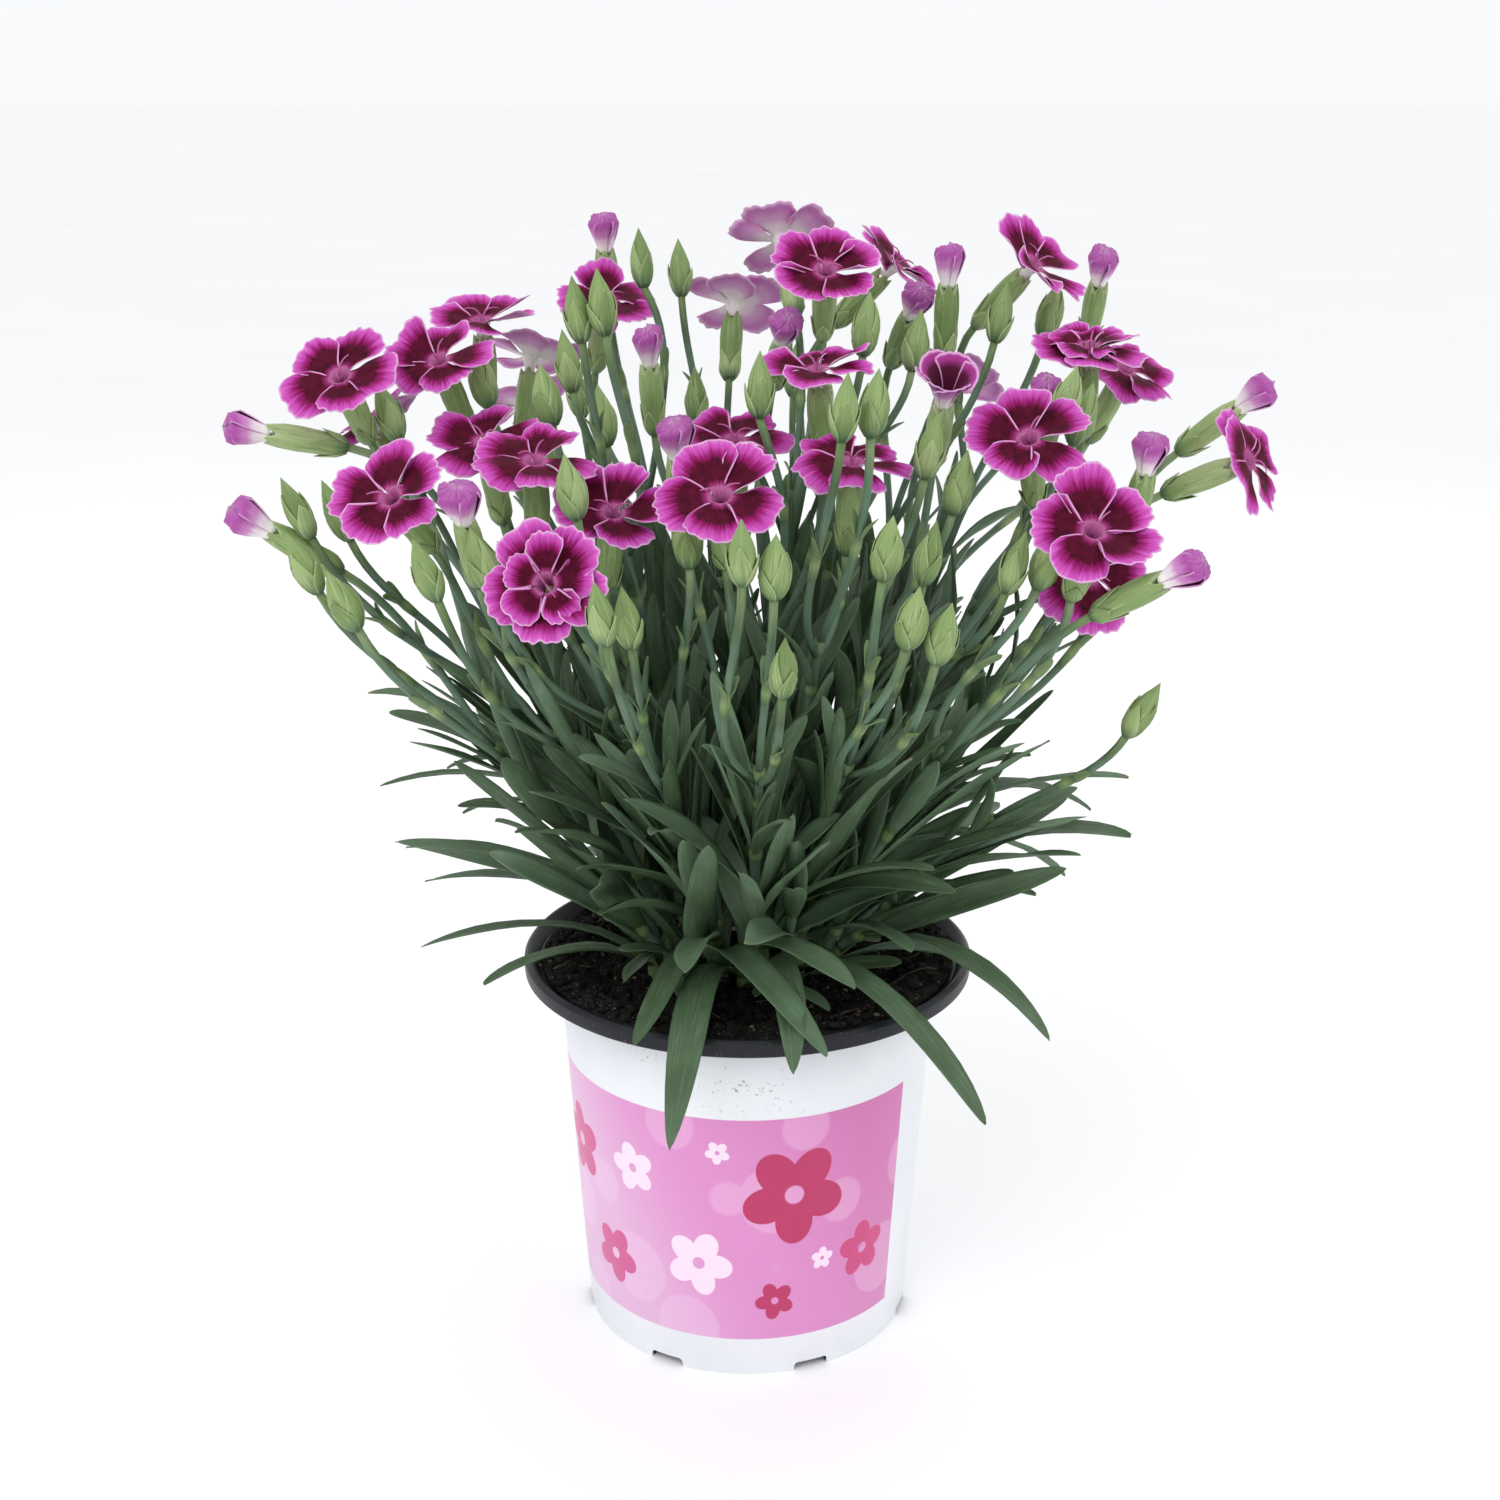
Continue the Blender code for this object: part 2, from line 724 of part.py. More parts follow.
def stem_path(stem):
    """The middle line of a stem through its rings."""
    heights = [height for low, high, _ in stem_stations(stem) for height in (low, high)]
    points = [stem_point(stem, height) for height in heights]
    return [stem["foot"]] + points


def trimmed(path, share_off):
    """A path without the first part of its first stretch, where it leaves what carries it."""
    return [path[0].lerp(path[1], share_off)] + path[1:]


def root_heights(spray):
    """The heights of the root's rings: its foot in the soil, then the levels of the crown."""
    return [spray["foot"]] + [CROWN_BASE + CROWN_STEP * k for k in range(CROWN_LEVELS + 1)]


def crown_gap(spray, level, side):
    """The four corners of one side of the crown."""
    first = facing_level(spray["turn"])
    rings = []
    for step in (level, level + 1):
        centre = spray["root"] + UP * (CROWN_BASE + CROWN_STEP * step)
        rings.append(ring(centre, UP, ROOT_RADIUS, ROOT_SIDES, first))
    after = (side + 1) % ROOT_SIDES
    return [rings[0][side], rings[0][after], rings[1][after], rings[1][side]]


def crown_side(spray, level, direction):
    """The free side of the crown that looks most nearly in a direction, and its middle."""
    best = None
    for side in range(ROOT_SIDES):
        if (level, side) in spray["sides"]:
            continue
        out = facing_level(spray["turn"] + math.tau * (side + 0.5) / ROOT_SIDES)
        match = out.dot(direction)
        if best is None or match > best[0]:
            best = (match, side, out)
    match, side, out = best
    spot = spray["root"] + out * (ROOT_RADIUS * math.cos(math.pi / ROOT_SIDES))
    spot.z = CROWN_BASE + CROWN_STEP * (level + 0.5)
    return match, side, spot, out


def place_stems(sprays, placed, draw):
    """Runs each spray's root and stems up from the crown, bent clear of the heads."""
    plan = []
    for s, heads_of_stems in enumerate(sprays):
        heads_of_stems = sorted(heads_of_stems, key=lambda heads: middle(heads).xy.length)
        ends = [middle(heads) for heads in heads_of_stems]
        hub = sum(ends, Vector((0.0, 0.0, 0.0))) / len(ends)
        root = Vector((hub.x * ROOT_SHARE, hub.y * ROOT_SHARE, 0.0))
        spray = {"root": root, "foot": soil_height(root.x, root.y) - ROOT_DEPTH, "stems": [], "sides": {}}
        spray["turn"] = draw.uniform(0.0, math.tau)
        top = CROWN_BASE + CROWN_STEP * CROWN_LEVELS
        upright = [root + UP * spray["foot"], root + UP * top]
        placed.add(("root", s), path_shape(upright, ROOT_RADIUS))
        for m, end in enumerate(ends):
            stem = {"hub": hub, "end": end, "leaves": {}, "heads": heads_of_stems[m], "limbs": {}}
            stem["top"] = max(end.z - BRANCH_LENGTH, top + CROWN_TO_JOINT)
            stem["foot"] = root + UP * top
            stem["first"] = facing_level(spray["turn"])
            stem["push"] = Vector((0.0, 0.0, 0.0))
            own = {("root", s)}
            if m:
                way = Vector((end.x - ends[0].x, end.y - ends[0].y, 0.0)).normalized()
                _, side, spot, out = crown_side(spray, CROWN_LEVELS - 1, way)
                spray["sides"][(CROWN_LEVELS - 1, side)] = stem
                stem["foot"] = spot + out * SIDE_STEM_START
                stem["first"] = out + out.cross(UP)
                stem["push"] = out * SIDE_STEM_PUSH
            for attempt in range(STEM_DRAWS):
                sway = 0.25 * attempt
                stem["bend"] = Vector((draw.uniform(-sway, sway), draw.uniform(-sway, sway), 0.0))
                path = stem_path(stem)
                if placed.clear(path_shape(trimmed(path, 0.3), STEM_RADIUS + CLEARANCE), own):
                    break
            stem["key"] = ("stem", s, m)
            placed.add(stem["key"], path_shape(path, STEM_RADIUS))
            spray["stems"].append(stem)
        plan.append(spray)
    return plan


def facing_level(angle):
    return Vector((math.cos(angle), math.sin(angle), 0.0))


def stem_side(stem, height, side):
    """The outward direction of one of a stem's four sides."""
    along = stem_heading(stem, height)
    one = square_to(along, stem["first"])
    two = along.cross(one)
    angle = math.pi / 4 + math.pi / 2 * side
    return one * math.cos(angle) + two * math.sin(angle)


def place_branches(plan, placed, draw):
    """Joins every head to its stem: one from its top, and the others from the sides below it."""
    for s, spray in enumerate(plan):
        for m, stem in enumerate(spray["stems"]):
            fork = stem_point(stem, 1.0)
            lead = stem_heading(stem, 1.0)

            def match(head):
                return (head_base(head) - fork).normalized().dot(lead)

            order = sorted(stem["heads"], key=match, reverse=True)
            for h, head in enumerate(order):
                base = head_base(head)
                foot = fork
                start = lead
                if h:
                    way = base - fork
                    sides = [side for side in range(4) if side not in stem["limbs"]]
                    side = max(sides, key=lambda k: stem_side(stem, 1.0, k).dot(way))
                    out = stem_side(stem, 1.0, side)
                    foot = stem_point(stem, 1.0) - lead * (NODE_HEIGHT * 1.5) + out * (STEM_RADIUS * 0.7)
                    start = (lead * 0.75 + out * 0.65).normalized()
                else:
                    side = "top"
                own = {("root", s), stem["key"], head["key"]}
                reach = (base - foot).length
                for attempt in range(STEM_DRAWS):
                    sway = min(0.3 * attempt, 0.2 * reach)
                    off = Vector([draw.uniform(-sway, sway) for _ in range(3)])
                    near = foot + start * (reach * 0.36) + off
                    far = base - head["axis"] * (reach * 0.34) + off * 0.6
                    curve = (foot, near, far, base)
                    path = [foot] + [bezier(curve, t) for t in STALK_STATIONS]
                    wide = BRANCH_RADIUS + CLEARANCE
                    beyond = path_shape(trimmed(path, 0.3), wide, 4)
                    whole = path_shape(trimmed(path, 0.03), wide, 4)
                    siblings = own | {("branch", s, m, k) for k in range(h)}
                    if placed.clear(beyond, own - {stem["key"]}) and placed.clear(whole, siblings):
                        break
                placed.add(("branch", s, m, h), path_shape(path, BRANCH_RADIUS, 4))
                stem["limbs"][side] = (curve, head)


def arched(base, along, out, length, first, last, width):
    """A leaf that leaves its stem at one angle and has turned to another at its tip."""
    middle_angle = math.radians((first + last) / 2)
    first, last = math.radians(first), math.radians(last)
    tip = base + (along * math.cos(middle_angle) + out * math.sin(middle_angle)) * length
    start = along * math.cos(first) + out * math.sin(first)
    end = along * math.cos(last) + out * math.sin(last)
    curve = (base, base + start * (length / 3), tip - end * (length / 3), tip)
    return {"curve": curve, "face": along, "width": width}


def keep_leaf(placed, leaf, own):
    """Whether a leaf is clear of all that stands, near its base of all but its own stem."""
    if not placed.clear(leaf_shape(leaf, 0.5, CLEARANCE)):
        return False
    if not placed.clear(leaf_shape(leaf, 0.02, CLEARANCE), own):
        return False
    placed.add(("leaf",), leaf_shape(leaf, 0.02))
    return True


def place_rim_leaves(plan, placed, draw):
    """The long leaves of the crown, each from the spray that stands nearest its tip."""
    for x, y, z, width in RIM_LEAVES:
        tip = Vector((x, y, z))
        level = Vector((x, y, 0.0)).normalized()

        def nearness(item):
            return (item["root"] - level * 26.0).length + 4.0 * len(item["sides"])

        kept = False
        for spray in sorted(plan, key=nearness)[:5]:
            own = {("root", plan.index(spray))}
            for attempt in range(LEAF_DRAWS):
                tier = attempt % (CROWN_LEVELS - 1)
                match, side, base, out = crown_side(spray, tier, level)
                if match < 0.2:
                    continue
                sway = 1.2 * attempt
                aside = level.cross(UP) * draw.uniform(-sway, sway)
                lift = UP * draw.uniform(0.0, sway)
                reach = (tip - base).length
                curve = (
                    base,
                    base + (out * 0.7 + UP * 0.6) * (reach * 0.36) + aside * 0.5 + lift,
                    tip - level * (reach * 0.35) + UP * max(6.0, RIM_CLEAR - z) + aside + lift,
                    tip,
                )
                leaf = {"curve": curve, "face": UP, "width": width}
                leaf["gap"] = crown_gap(spray, tier, side)
                kept = keep_leaf(placed, leaf, own)
                if kept:
                    spray["sides"][(tier, side)] = leaf
                    break
            if kept:
                break


def place_stem_leaves(plan, placed, draw):
    """Pairs up each stem, each pair square to the one below it, longest near the crown."""
    for k, (height, length, width, first, last) in enumerate(PAIRS):
        for s, spray in enumerate(plan):
            for m, stem in enumerate(spray["stems"]):
                own = {("root", s), stem["key"]}
                point = stem_point(stem, height)
                along = stem_heading(stem, height)
                for side in (k % 2, k % 2 + 2):
                    out = stem_side(stem, height, side)
                    aside = along.cross(out)
                    base = point + out * (STEM_RADIUS * 0.7)
                    low, high, _ = stem_stations(stem)[k]
                    gap = stem_gap(stem, low, high, side)
                    for attempt in range(LEAF_DRAWS):
                        swing = math.radians(draw.uniform(-1, 1) * min(8 + 4.0 * attempt, 50))
                        way = out * math.cos(swing) + aside * math.sin(swing)
                        size = length * draw.uniform(0.85, 1.12) * (1.0 - 0.035 * attempt)
                        leaf = arched(
                            base,
                            along,
                            way,
                            size,
                            first * draw.uniform(0.85, 1.3),
                            last * draw.uniform(0.75, 1.3),
                            width * draw.uniform(0.9, 1.1),
                        )
                        leaf["gap"] = gap
                        if keep_leaf(placed, leaf, own):
                            stem["leaves"][(k, side)] = leaf
                            break


def add_object(name, shape, material, collection):
    """A mesh object from points in millimetres and faces, closed and facing out."""
    points, faces = shape
    mesh = bpy.data.meshes.new(name)
    mesh.from_pydata([point * MM for point in points], [], faces)
    shaper = bmesh.new()
    shaper.from_mesh(mesh)
    bmesh.ops.recalc_face_normals(shaper, faces=shaper.faces)
    shaper.to_mesh(mesh)
    shaper.free()
    obj = bpy.data.objects.new(name, mesh)
    collection.objects.link(obj)
    mesh.materials.append(material)
    return obj


def add_turned(name, profile, material, collection):
    """A solid of revolution from a profile at +X, run top to bottom down its outer side."""
    mesh = bpy.data.meshes.new(name)
    edges = [(i, i + 1) for i in range(len(profile) - 1)]
    if profile[-1][0] > 0.0:
        edges.append((len(profile) - 1, 0))
    mesh.from_pydata([(radius * MM, 0.0, height * MM) for radius, height in profile], edges, [])
    mesh.materials.append(material)
    obj = bpy.data.objects.new(name, mesh)
    collection.objects.link(obj)
    screw = obj.modifiers.new("Turn", "SCREW")
    screw.steps = TURNED_STEPS
    screw.render_steps = TURNED_STEPS
    screw.use_merge_vertices = True
    screw.merge_threshold = 0.00001
    return obj


def fuse(name, pieces, collection):
    """One body from many pieces by a single union, after which the pieces are removed."""
    joined = bpy.data.collections.new(name + "_pieces")
    bpy.context.scene.collection.children.link(joined)
    base = pieces[0]
    for piece in pieces[1:]:
        joined.objects.link(piece)
        collection.objects.unlink(piece)
    union = base.modifiers.new("Join", "BOOLEAN")
    union.operation = "UNION"
    union.operand_type = "COLLECTION"
    union.collection = joined
    union.solver = "EXACT"
    bpy.context.view_layer.update()
    mesh = bpy.data.meshes.new_from_object(base.evaluated_get(bpy.context.evaluated_depsgraph_get()))
    base.modifiers.clear()
    base.data = mesh
    base.name = name
    mesh.name = name
    for piece in list(joined.objects):
        bpy.data.objects.remove(piece)
    bpy.data.collections.remove(joined)
    return base


def cut(obj, cutters):
    """Takes every cutter of a collection out of an object."""
    boolean = obj.modifiers.new("Cut", "BOOLEAN")
    boolean.operation = "DIFFERENCE"
    boolean.operand_type = "COLLECTION"
    boolean.collection = cutters
    boolean.solver = "EXACT"


def add_cutter(obj, cutters):
    """Moves a primitive that was just added into a cutter collection."""
    for collection in list(obj.users_collection):
        collection.objects.unlink(obj)
    cutters.objects.link(obj)
    obj.hide_render = True
    obj.display_type = "WIRE"


def make_notches(cutters):
    """A box across the wall's lower edge between every two feet."""
    for i in range(FEET):
        angle = math.radians(FIRST_NOTCH + 360.0 / FEET * i - 90.0)
        spot = facing_level(angle) * (WALL_FOOT_RADIUS * MM)
        bpy.ops.mesh.primitive_cube_add(size=1.0, location=spot, rotation=(0.0, 0.0, angle))
        box = bpy.context.active_object
        box.name = f"notch_{i + 1}"
        box.scale = (NOTCH_DEPTH * MM, NOTCH_WIDTH * MM, 2 * NOTCH_HEIGHT * MM)
        add_cutter(box, cutters)


def make_drains(cutters):
    """A round hole through the floor behind every foot."""
    for i in range(FEET):
        angle = math.radians(FIRST_NOTCH + 360.0 / FEET * (i + 0.5) - 90.0)
        spot = facing_level(angle) * (DRAIN_CIRCLE * MM)
        spot.z = FLOOR_TOP * MM
        bpy.ops.mesh.primitive_cylinder_add(
            vertices=DRAIN_SIDES,
            radius=DRAIN_RADIUS * MM,
            depth=DRAIN_DEPTH * MM,
            location=spot,
        )
        hole = bpy.context.active_object
        hole.name = f"drain_{i + 1}"
        add_cutter(hole, cutters)


def make_stem_holes(plan, cutters):
    """A plain hole in the soil round each root."""
    for s, spray in enumerate(plan):
        foot = Vector((spray["root"].x, spray["root"].y, spray["foot"]))
        depth = ROOT_DEPTH + GAP + HOLE_RISE
        bpy.ops.mesh.primitive_cylinder_add(
            vertices=ROOT_SIDES,
            radius=(ROOT_RADIUS + 2 * GAP) * MM,
            depth=depth * MM,
            location=(foot + UP * (depth / 2 - GAP)) * MM,
        )
        hole = bpy.context.active_object
        hole.name = f"stem_hole_{s + 1}"
        add_cutter(hole, cutters)


def grow_stalk(skin, opening, curve, head, first):
    """A stalk and the calyx or bud at its end."""
    sections = []
    for t in STALK_STATIONS:
        point = bezier(curve, t)
        run = heading(curve, t)
        first = square_to(run, first)
        sections.append(ring(point, run, BRANCH_RADIUS, 4, first))
    skin.grow(opening, sections + green_sections(head, first))


def grow_stem(skin, opening, stem):
    """A four-sided stem with its leaves, then its stalks from the last joint."""
    last = opening
    for low, high, k in stem_stations(stem):
        lower = skin.ring(stem_ring(stem, low))
        upper = skin.ring(stem_ring(stem, high))
        skin.wall(last, lower)
        if k is None:
            limbs = {side: limb for side, limb in stem["limbs"].items() if side != "top"}
        else:
            limbs = {side: leaf for (tier, side), leaf in stem["leaves"].items() if tier == k}
        for side, gap in skin.wall(lower, upper, limbs).items():
            if k is None:
                curve, head = limbs[side]
                grow_stalk(skin, gap, curve, head, skin.points[gap[0]] - curve[0])
            else:
                skin.grow(gap, leaf_sections(limbs[side]))
        last = upper
    curve, head = stem["limbs"]["top"]
    grow_stalk(skin, last, curve, head, stem["first"])


def make_spray(name, spray, material, collection):
    """Root, crown, stems, stalks, leaves, calyces and closed buds, grown as one body."""
    skin = Skin()
    first = facing_level(spray["turn"])
    rings = []
    for height in root_heights(spray):
        centre = Vector((spray["root"].x, spray["root"].y, height))
        rings.append(skin.ring(ring(centre, UP, ROOT_RADIUS, ROOT_SIDES, first)))
    skin.cap(rings[0], True)
    skin.wall(rings[0], rings[1])
    for level in range(CROWN_LEVELS):
        open_sides = [side for tier, side in spray["sides"] if tier == level]
        for side, gap in skin.wall(rings[level + 1], rings[level + 2], open_sides).items():
            limb = spray["sides"][(level, side)]
            if "curve" in limb:
                skin.grow(gap, leaf_sections(limb))
            else:
                grow_stem(skin, gap, limb)
    grow_stem(skin, rings[-1], spray["stems"][0])
    return add_object(name, (skin.points, skin.faces), material, collection)


def make_bloom(name, head, spin, material, collection):
    """The petals of an open flower, with a smaller set on top if it is double."""
    shape = corolla(head["centre"], head["axis"], BLOOM_RADIUS, spin)
    outer = add_object(name, shape, material, collection)
    if head["kind"] != "double":
        return outer
    raised = head["centre"] + head["axis"] * INNER_RISE
    shape = corolla(raised, head["axis"], INNER_RADIUS, spin + math.pi / PETALS)
    inner = add_object(name + "_inner", shape, material, collection)
    return fuse(name, [outer, inner], collection)


def principled(name, colour, roughness):
    """A plain material of one colour."""
    material = bpy.data.materials.new(name)
    material.use_nodes = True
    shader = material.node_tree.nodes["Principled BSDF"]
    shader.inputs["Base Color"].default_value = (*colour, 1.0)
    shader.inputs["Roughness"].default_value = roughness
    shader.inputs["Metallic"].default_value = 0.0
    return material


def new_collection(name):
    collection = bpy.data.collections.new(name)
    bpy.context.scene.collection.children.link(collection)
    return collection


def plan_plant():
    """Works out where every head, stem, stalk and leaf lies, in millimetres."""
    draw = random.Random(LAYOUT_SEED)
    placed = Placed()
    placed.add(("pot",), turned_shape(pot_profile()))
    placed.add(("skin",), turned_shape(skin_profile()))
    placed.add(("soil",), soil_shape())
    sprays = place_heads(placed)
    plan = place_stems(sprays, placed, draw)
    place_branches(plan, placed, draw)
    place_rim_leaves(plan, placed, draw)
    place_stem_leaves(plan, placed, draw)
    return plan


def main():
    for obj in list(bpy.data.objects):
        bpy.data.objects.remove(obj)
    parts = new_collection("potted_dianthus")
    pot_cutters = new_collection("pot_cutters")
    drain_cutters = new_collection("drain_cutters")
    soil_cutters = new_collection("soil_cutters")
    black = principled("black_plastic", (0.025, 0.028, 0.034), 0.45)
    white = principled("white_plastic", (0.86, 0.87, 0.88), 0.35)
    peat = principled("peat", (0.02, 0.015, 0.012), 0.95)
    green = principled("leaf_green", (0.07, 0.14, 0.08), 0.6)
    magenta = principled("petal_magenta", (0.36, 0.03, 0.22), 0.55)
    pink = principled("petal_pink", (0.62, 0.2, 0.45), 0.55)

    plan = plan_plant()
    draw = random.Random(SPIN_SEED)
    blooms = 0
    opening = 0
    for s, spray in enumerate(plan):
        make_spray(f"spray_{s + 1:02d}", spray, green, parts)
        for stem in spray["stems"]:
            for head in stem["heads"]:
                if head["kind"] in ("bloom", "double"):
                    blooms += 1
                    make_bloom(f"bloom_{blooms:02d}", head, draw.uniform(0.0, math.tau), magenta, parts)
                elif head["kind"] != "bud":
                    opening += 1
                    add_object(f"opening_bloom_{opening:02d}", opening_shape(head), pink, parts)

    make_notches(pot_cutters)
    make_drains(drain_cutters)
    make_stem_holes(plan, soil_cutters)
    pot = add_turned("pot", pot_profile(), black, parts)
    cut(pot, pot_cutters)
    cut(pot, drain_cutters)
    skin = add_turned("pot_skin", skin_profile(), white, parts)
    cut(skin, pot_cutters)
    soil = add_object("soil", soil_shape(), peat, parts)
    cut(soil, soil_cutters)


main()
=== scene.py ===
import math
import random
from functools import partial

import bmesh
import bpy
import numpy as np
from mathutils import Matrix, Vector
from mathutils.bvhtree import BVHTree


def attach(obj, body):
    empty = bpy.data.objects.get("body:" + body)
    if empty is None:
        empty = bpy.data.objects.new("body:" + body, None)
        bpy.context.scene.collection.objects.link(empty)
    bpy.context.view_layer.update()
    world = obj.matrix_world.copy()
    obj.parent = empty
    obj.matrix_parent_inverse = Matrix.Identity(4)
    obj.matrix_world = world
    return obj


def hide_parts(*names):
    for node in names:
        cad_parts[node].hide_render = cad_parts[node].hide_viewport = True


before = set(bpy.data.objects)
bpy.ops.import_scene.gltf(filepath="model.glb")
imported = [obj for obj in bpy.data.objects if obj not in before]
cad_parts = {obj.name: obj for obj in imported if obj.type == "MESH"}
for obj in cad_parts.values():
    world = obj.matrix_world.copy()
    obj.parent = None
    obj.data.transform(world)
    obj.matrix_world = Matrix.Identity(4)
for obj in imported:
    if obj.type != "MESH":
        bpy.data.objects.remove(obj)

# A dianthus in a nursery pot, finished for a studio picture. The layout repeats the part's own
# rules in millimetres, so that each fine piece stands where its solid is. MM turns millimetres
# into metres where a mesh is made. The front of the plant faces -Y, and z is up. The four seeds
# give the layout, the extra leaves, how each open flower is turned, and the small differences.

MM = 0.001
GAP = 0.3
LAYOUT_SEED = 16
FILL_SEED = 5
SPIN_SEED = 11
LOOK_SEED = 3
UP = Vector((0.0, 0.0, 1.0))

# Pot: a black body with a wide rim, and the white layer that covers its wall
POT_HEIGHT = 104.8
RIM_RADIUS = 60.0
RIM_HEIGHT = 4.5
RIM_LIP = 2.4
RIM_SLOPE = 1.4
RIM_ROUND = 0.9
LEDGE = 101.9
WALL_TOP = 99.7
WALL_TOP_RADIUS = 50.8
WALL_FOOT_RADIUS = 44.5
SKIN = 0.6
WALL = 1.2
FLOOR_UNDERSIDE = 3.0
FLOOR_TOP = 4.4
BOSS_RADIUS = 14.0
TURNED_STEPS = 28
POT_STEPS = 168
POT_EASE = 0.18

# Feet: the wall's lower edge is cut away between them
FEET = 7
NOTCH_WIDTH = 9.5
NOTCH_HEIGHT = 2.3
NOTCH_DEPTH = 8.0
NOTCH_ROUND = 1.1
FIRST_NOTCH = -29.0
DRAIN_RADIUS = 3.5
DRAIN_CIRCLE = 30.0
DRAIN_DEPTH = 10.0

# Soil: it fills the body and is banked up over the ledge inside the rim
SOIL_EDGE = 96.8
BANK_RADIUS = 55.2
BANK_HEIGHT = 102.9
SOIL_RISE = 2.2
SOIL_LUMP = 1.0
SOIL_SIDES = 20
SOIL_RINGS = (0.86, 0.72, 0.5, 0.25)
FINE_SOIL_SIDES = 96
FINE_SOIL_RINGS = 26
CRUMBS = 3400
CRUMB_STRETCH = ((0.7, 1.3), (0.7, 1.3), (0.5, 0.9))
PALE_SHARE = 0.1
FIBRES = 44

# Sprays: how the stems leave the crown and spread
ROOT_DEPTH = 12.0
ROOT_RADIUS = 2.4
ROOT_SIDES = 6
CROWN_BASE = 101.0
CROWN_STEP = 2.7
CROWN_LEVELS = 3
CROWN_TOP = CROWN_BASE + CROWN_STEP * CROWN_LEVELS
STEM_RADIUS = 1.35
BRANCH_RADIUS = 0.95
ROOT_SHARE = 0.25
BRANCH_LENGTH = 42.0
SIDE_STEM_PUSH = 5.5
SIDE_STEM_START = 1.2
CROWN_TO_JOINT = 42.0
FOOT_END = 0.1
OWN_WAY = 0.3
PUSH_END = 0.5
STALK_STATIONS = (0.45, 1.0)
NODE_HEIGHT = 2.4
CLEARANCE = 0.35
SLIDE = 3.0
SLIDES = 24
STEM_DRAWS = 80
STEM_RINGS = 34
STALK_RINGS = 12
STYLE_RINGS = 6
STEM_SWELLING = 0.32
STALK_SWELLING = 0.3
SWELLING_REACH = (1.7, 1.4)

# Heads: lengths along the axis of a flower, back from the middle of its petals
BLOOM_RADIUS = 14.5
INNER_RADIUS = 9.5
INNER_RISE = 1.2
CALYX_MOUTH = 6.0
CALYX_LENGTH = 19.0
CALYX_RADIUS = 2.9
CALYX_BELLY = 5.5
BUD_LENGTH = 16.0
BUD_RADIUS = 3.3
BUD_BELLY = 5.0
BUD_SHOULDER = 10.5
BUD_AIM = 60.0
BUD_LIFT = 0.45
GREEN_SIDES = 6
ROLL_SIDES = 8
ROLL_FOOT = 2.1
HULL_SIDES = 12
HULL_FOOT = 2.6
EYE = Vector((0.7, -520.0, 330.0))

# Petals: the claw stands in the calyx, and the limb spreads from the throat to the toothed edge
PETALS = 5
CLAW_SHARE = 0.24
CLAW_FOOT = 1.1
THROAT = 2.3
THROAT_HEIGHT = -0.9
TEETH = 7
TOOTH_DEPTH = 0.034
FINE_TOOTH_DEPTH = 0.018
NOTCH_IN_PETAL = 0.05
PETAL_SHEET = 0.32
ROLL_HEIGHT = 11.4
ROLL_PLACES = (0.0, 0.18, 0.45, 0.74, 0.92, 1.0)
ROLL_SHAPE = (1.9, 2.3, 3.3, 4.1, 3.6, 0.06)
TRUMPET_SHAPE = (1.9, 2.25, 3.3, 4.9, 6.5, 7.6)

# Green parts: places along them, and their width there as a share of the full one
TOOTH_LENGTH = 3.6
CALYX_PLACES = (0.0, 0.1, 0.3, 0.6, 0.85, 1.0)
CALYX_SHAPE = (0.42, 0.86, 1.02, 1.12, 1.05, 0.9)
BUD_PLACES = (0.0, 0.08, 0.2, 0.38, 0.55, 0.72, 0.88, 1.0)
BUD_SHAPE = (0.35, 0.68, 0.94, 1.08, 1.0, 0.7, 0.3, 0.02)
SCALE_PLACES = (0.0, 0.25, 0.55, 0.8, 1.0)
SCALE_SHAPE = (0.95, 1.0, 0.74, 0.38, 0.02)
SCALE_SHEET = 0.24
BRACT_REACH = 17.0
BRACT_LENGTH = 9.0
BRACT_WIDTH = 2.4

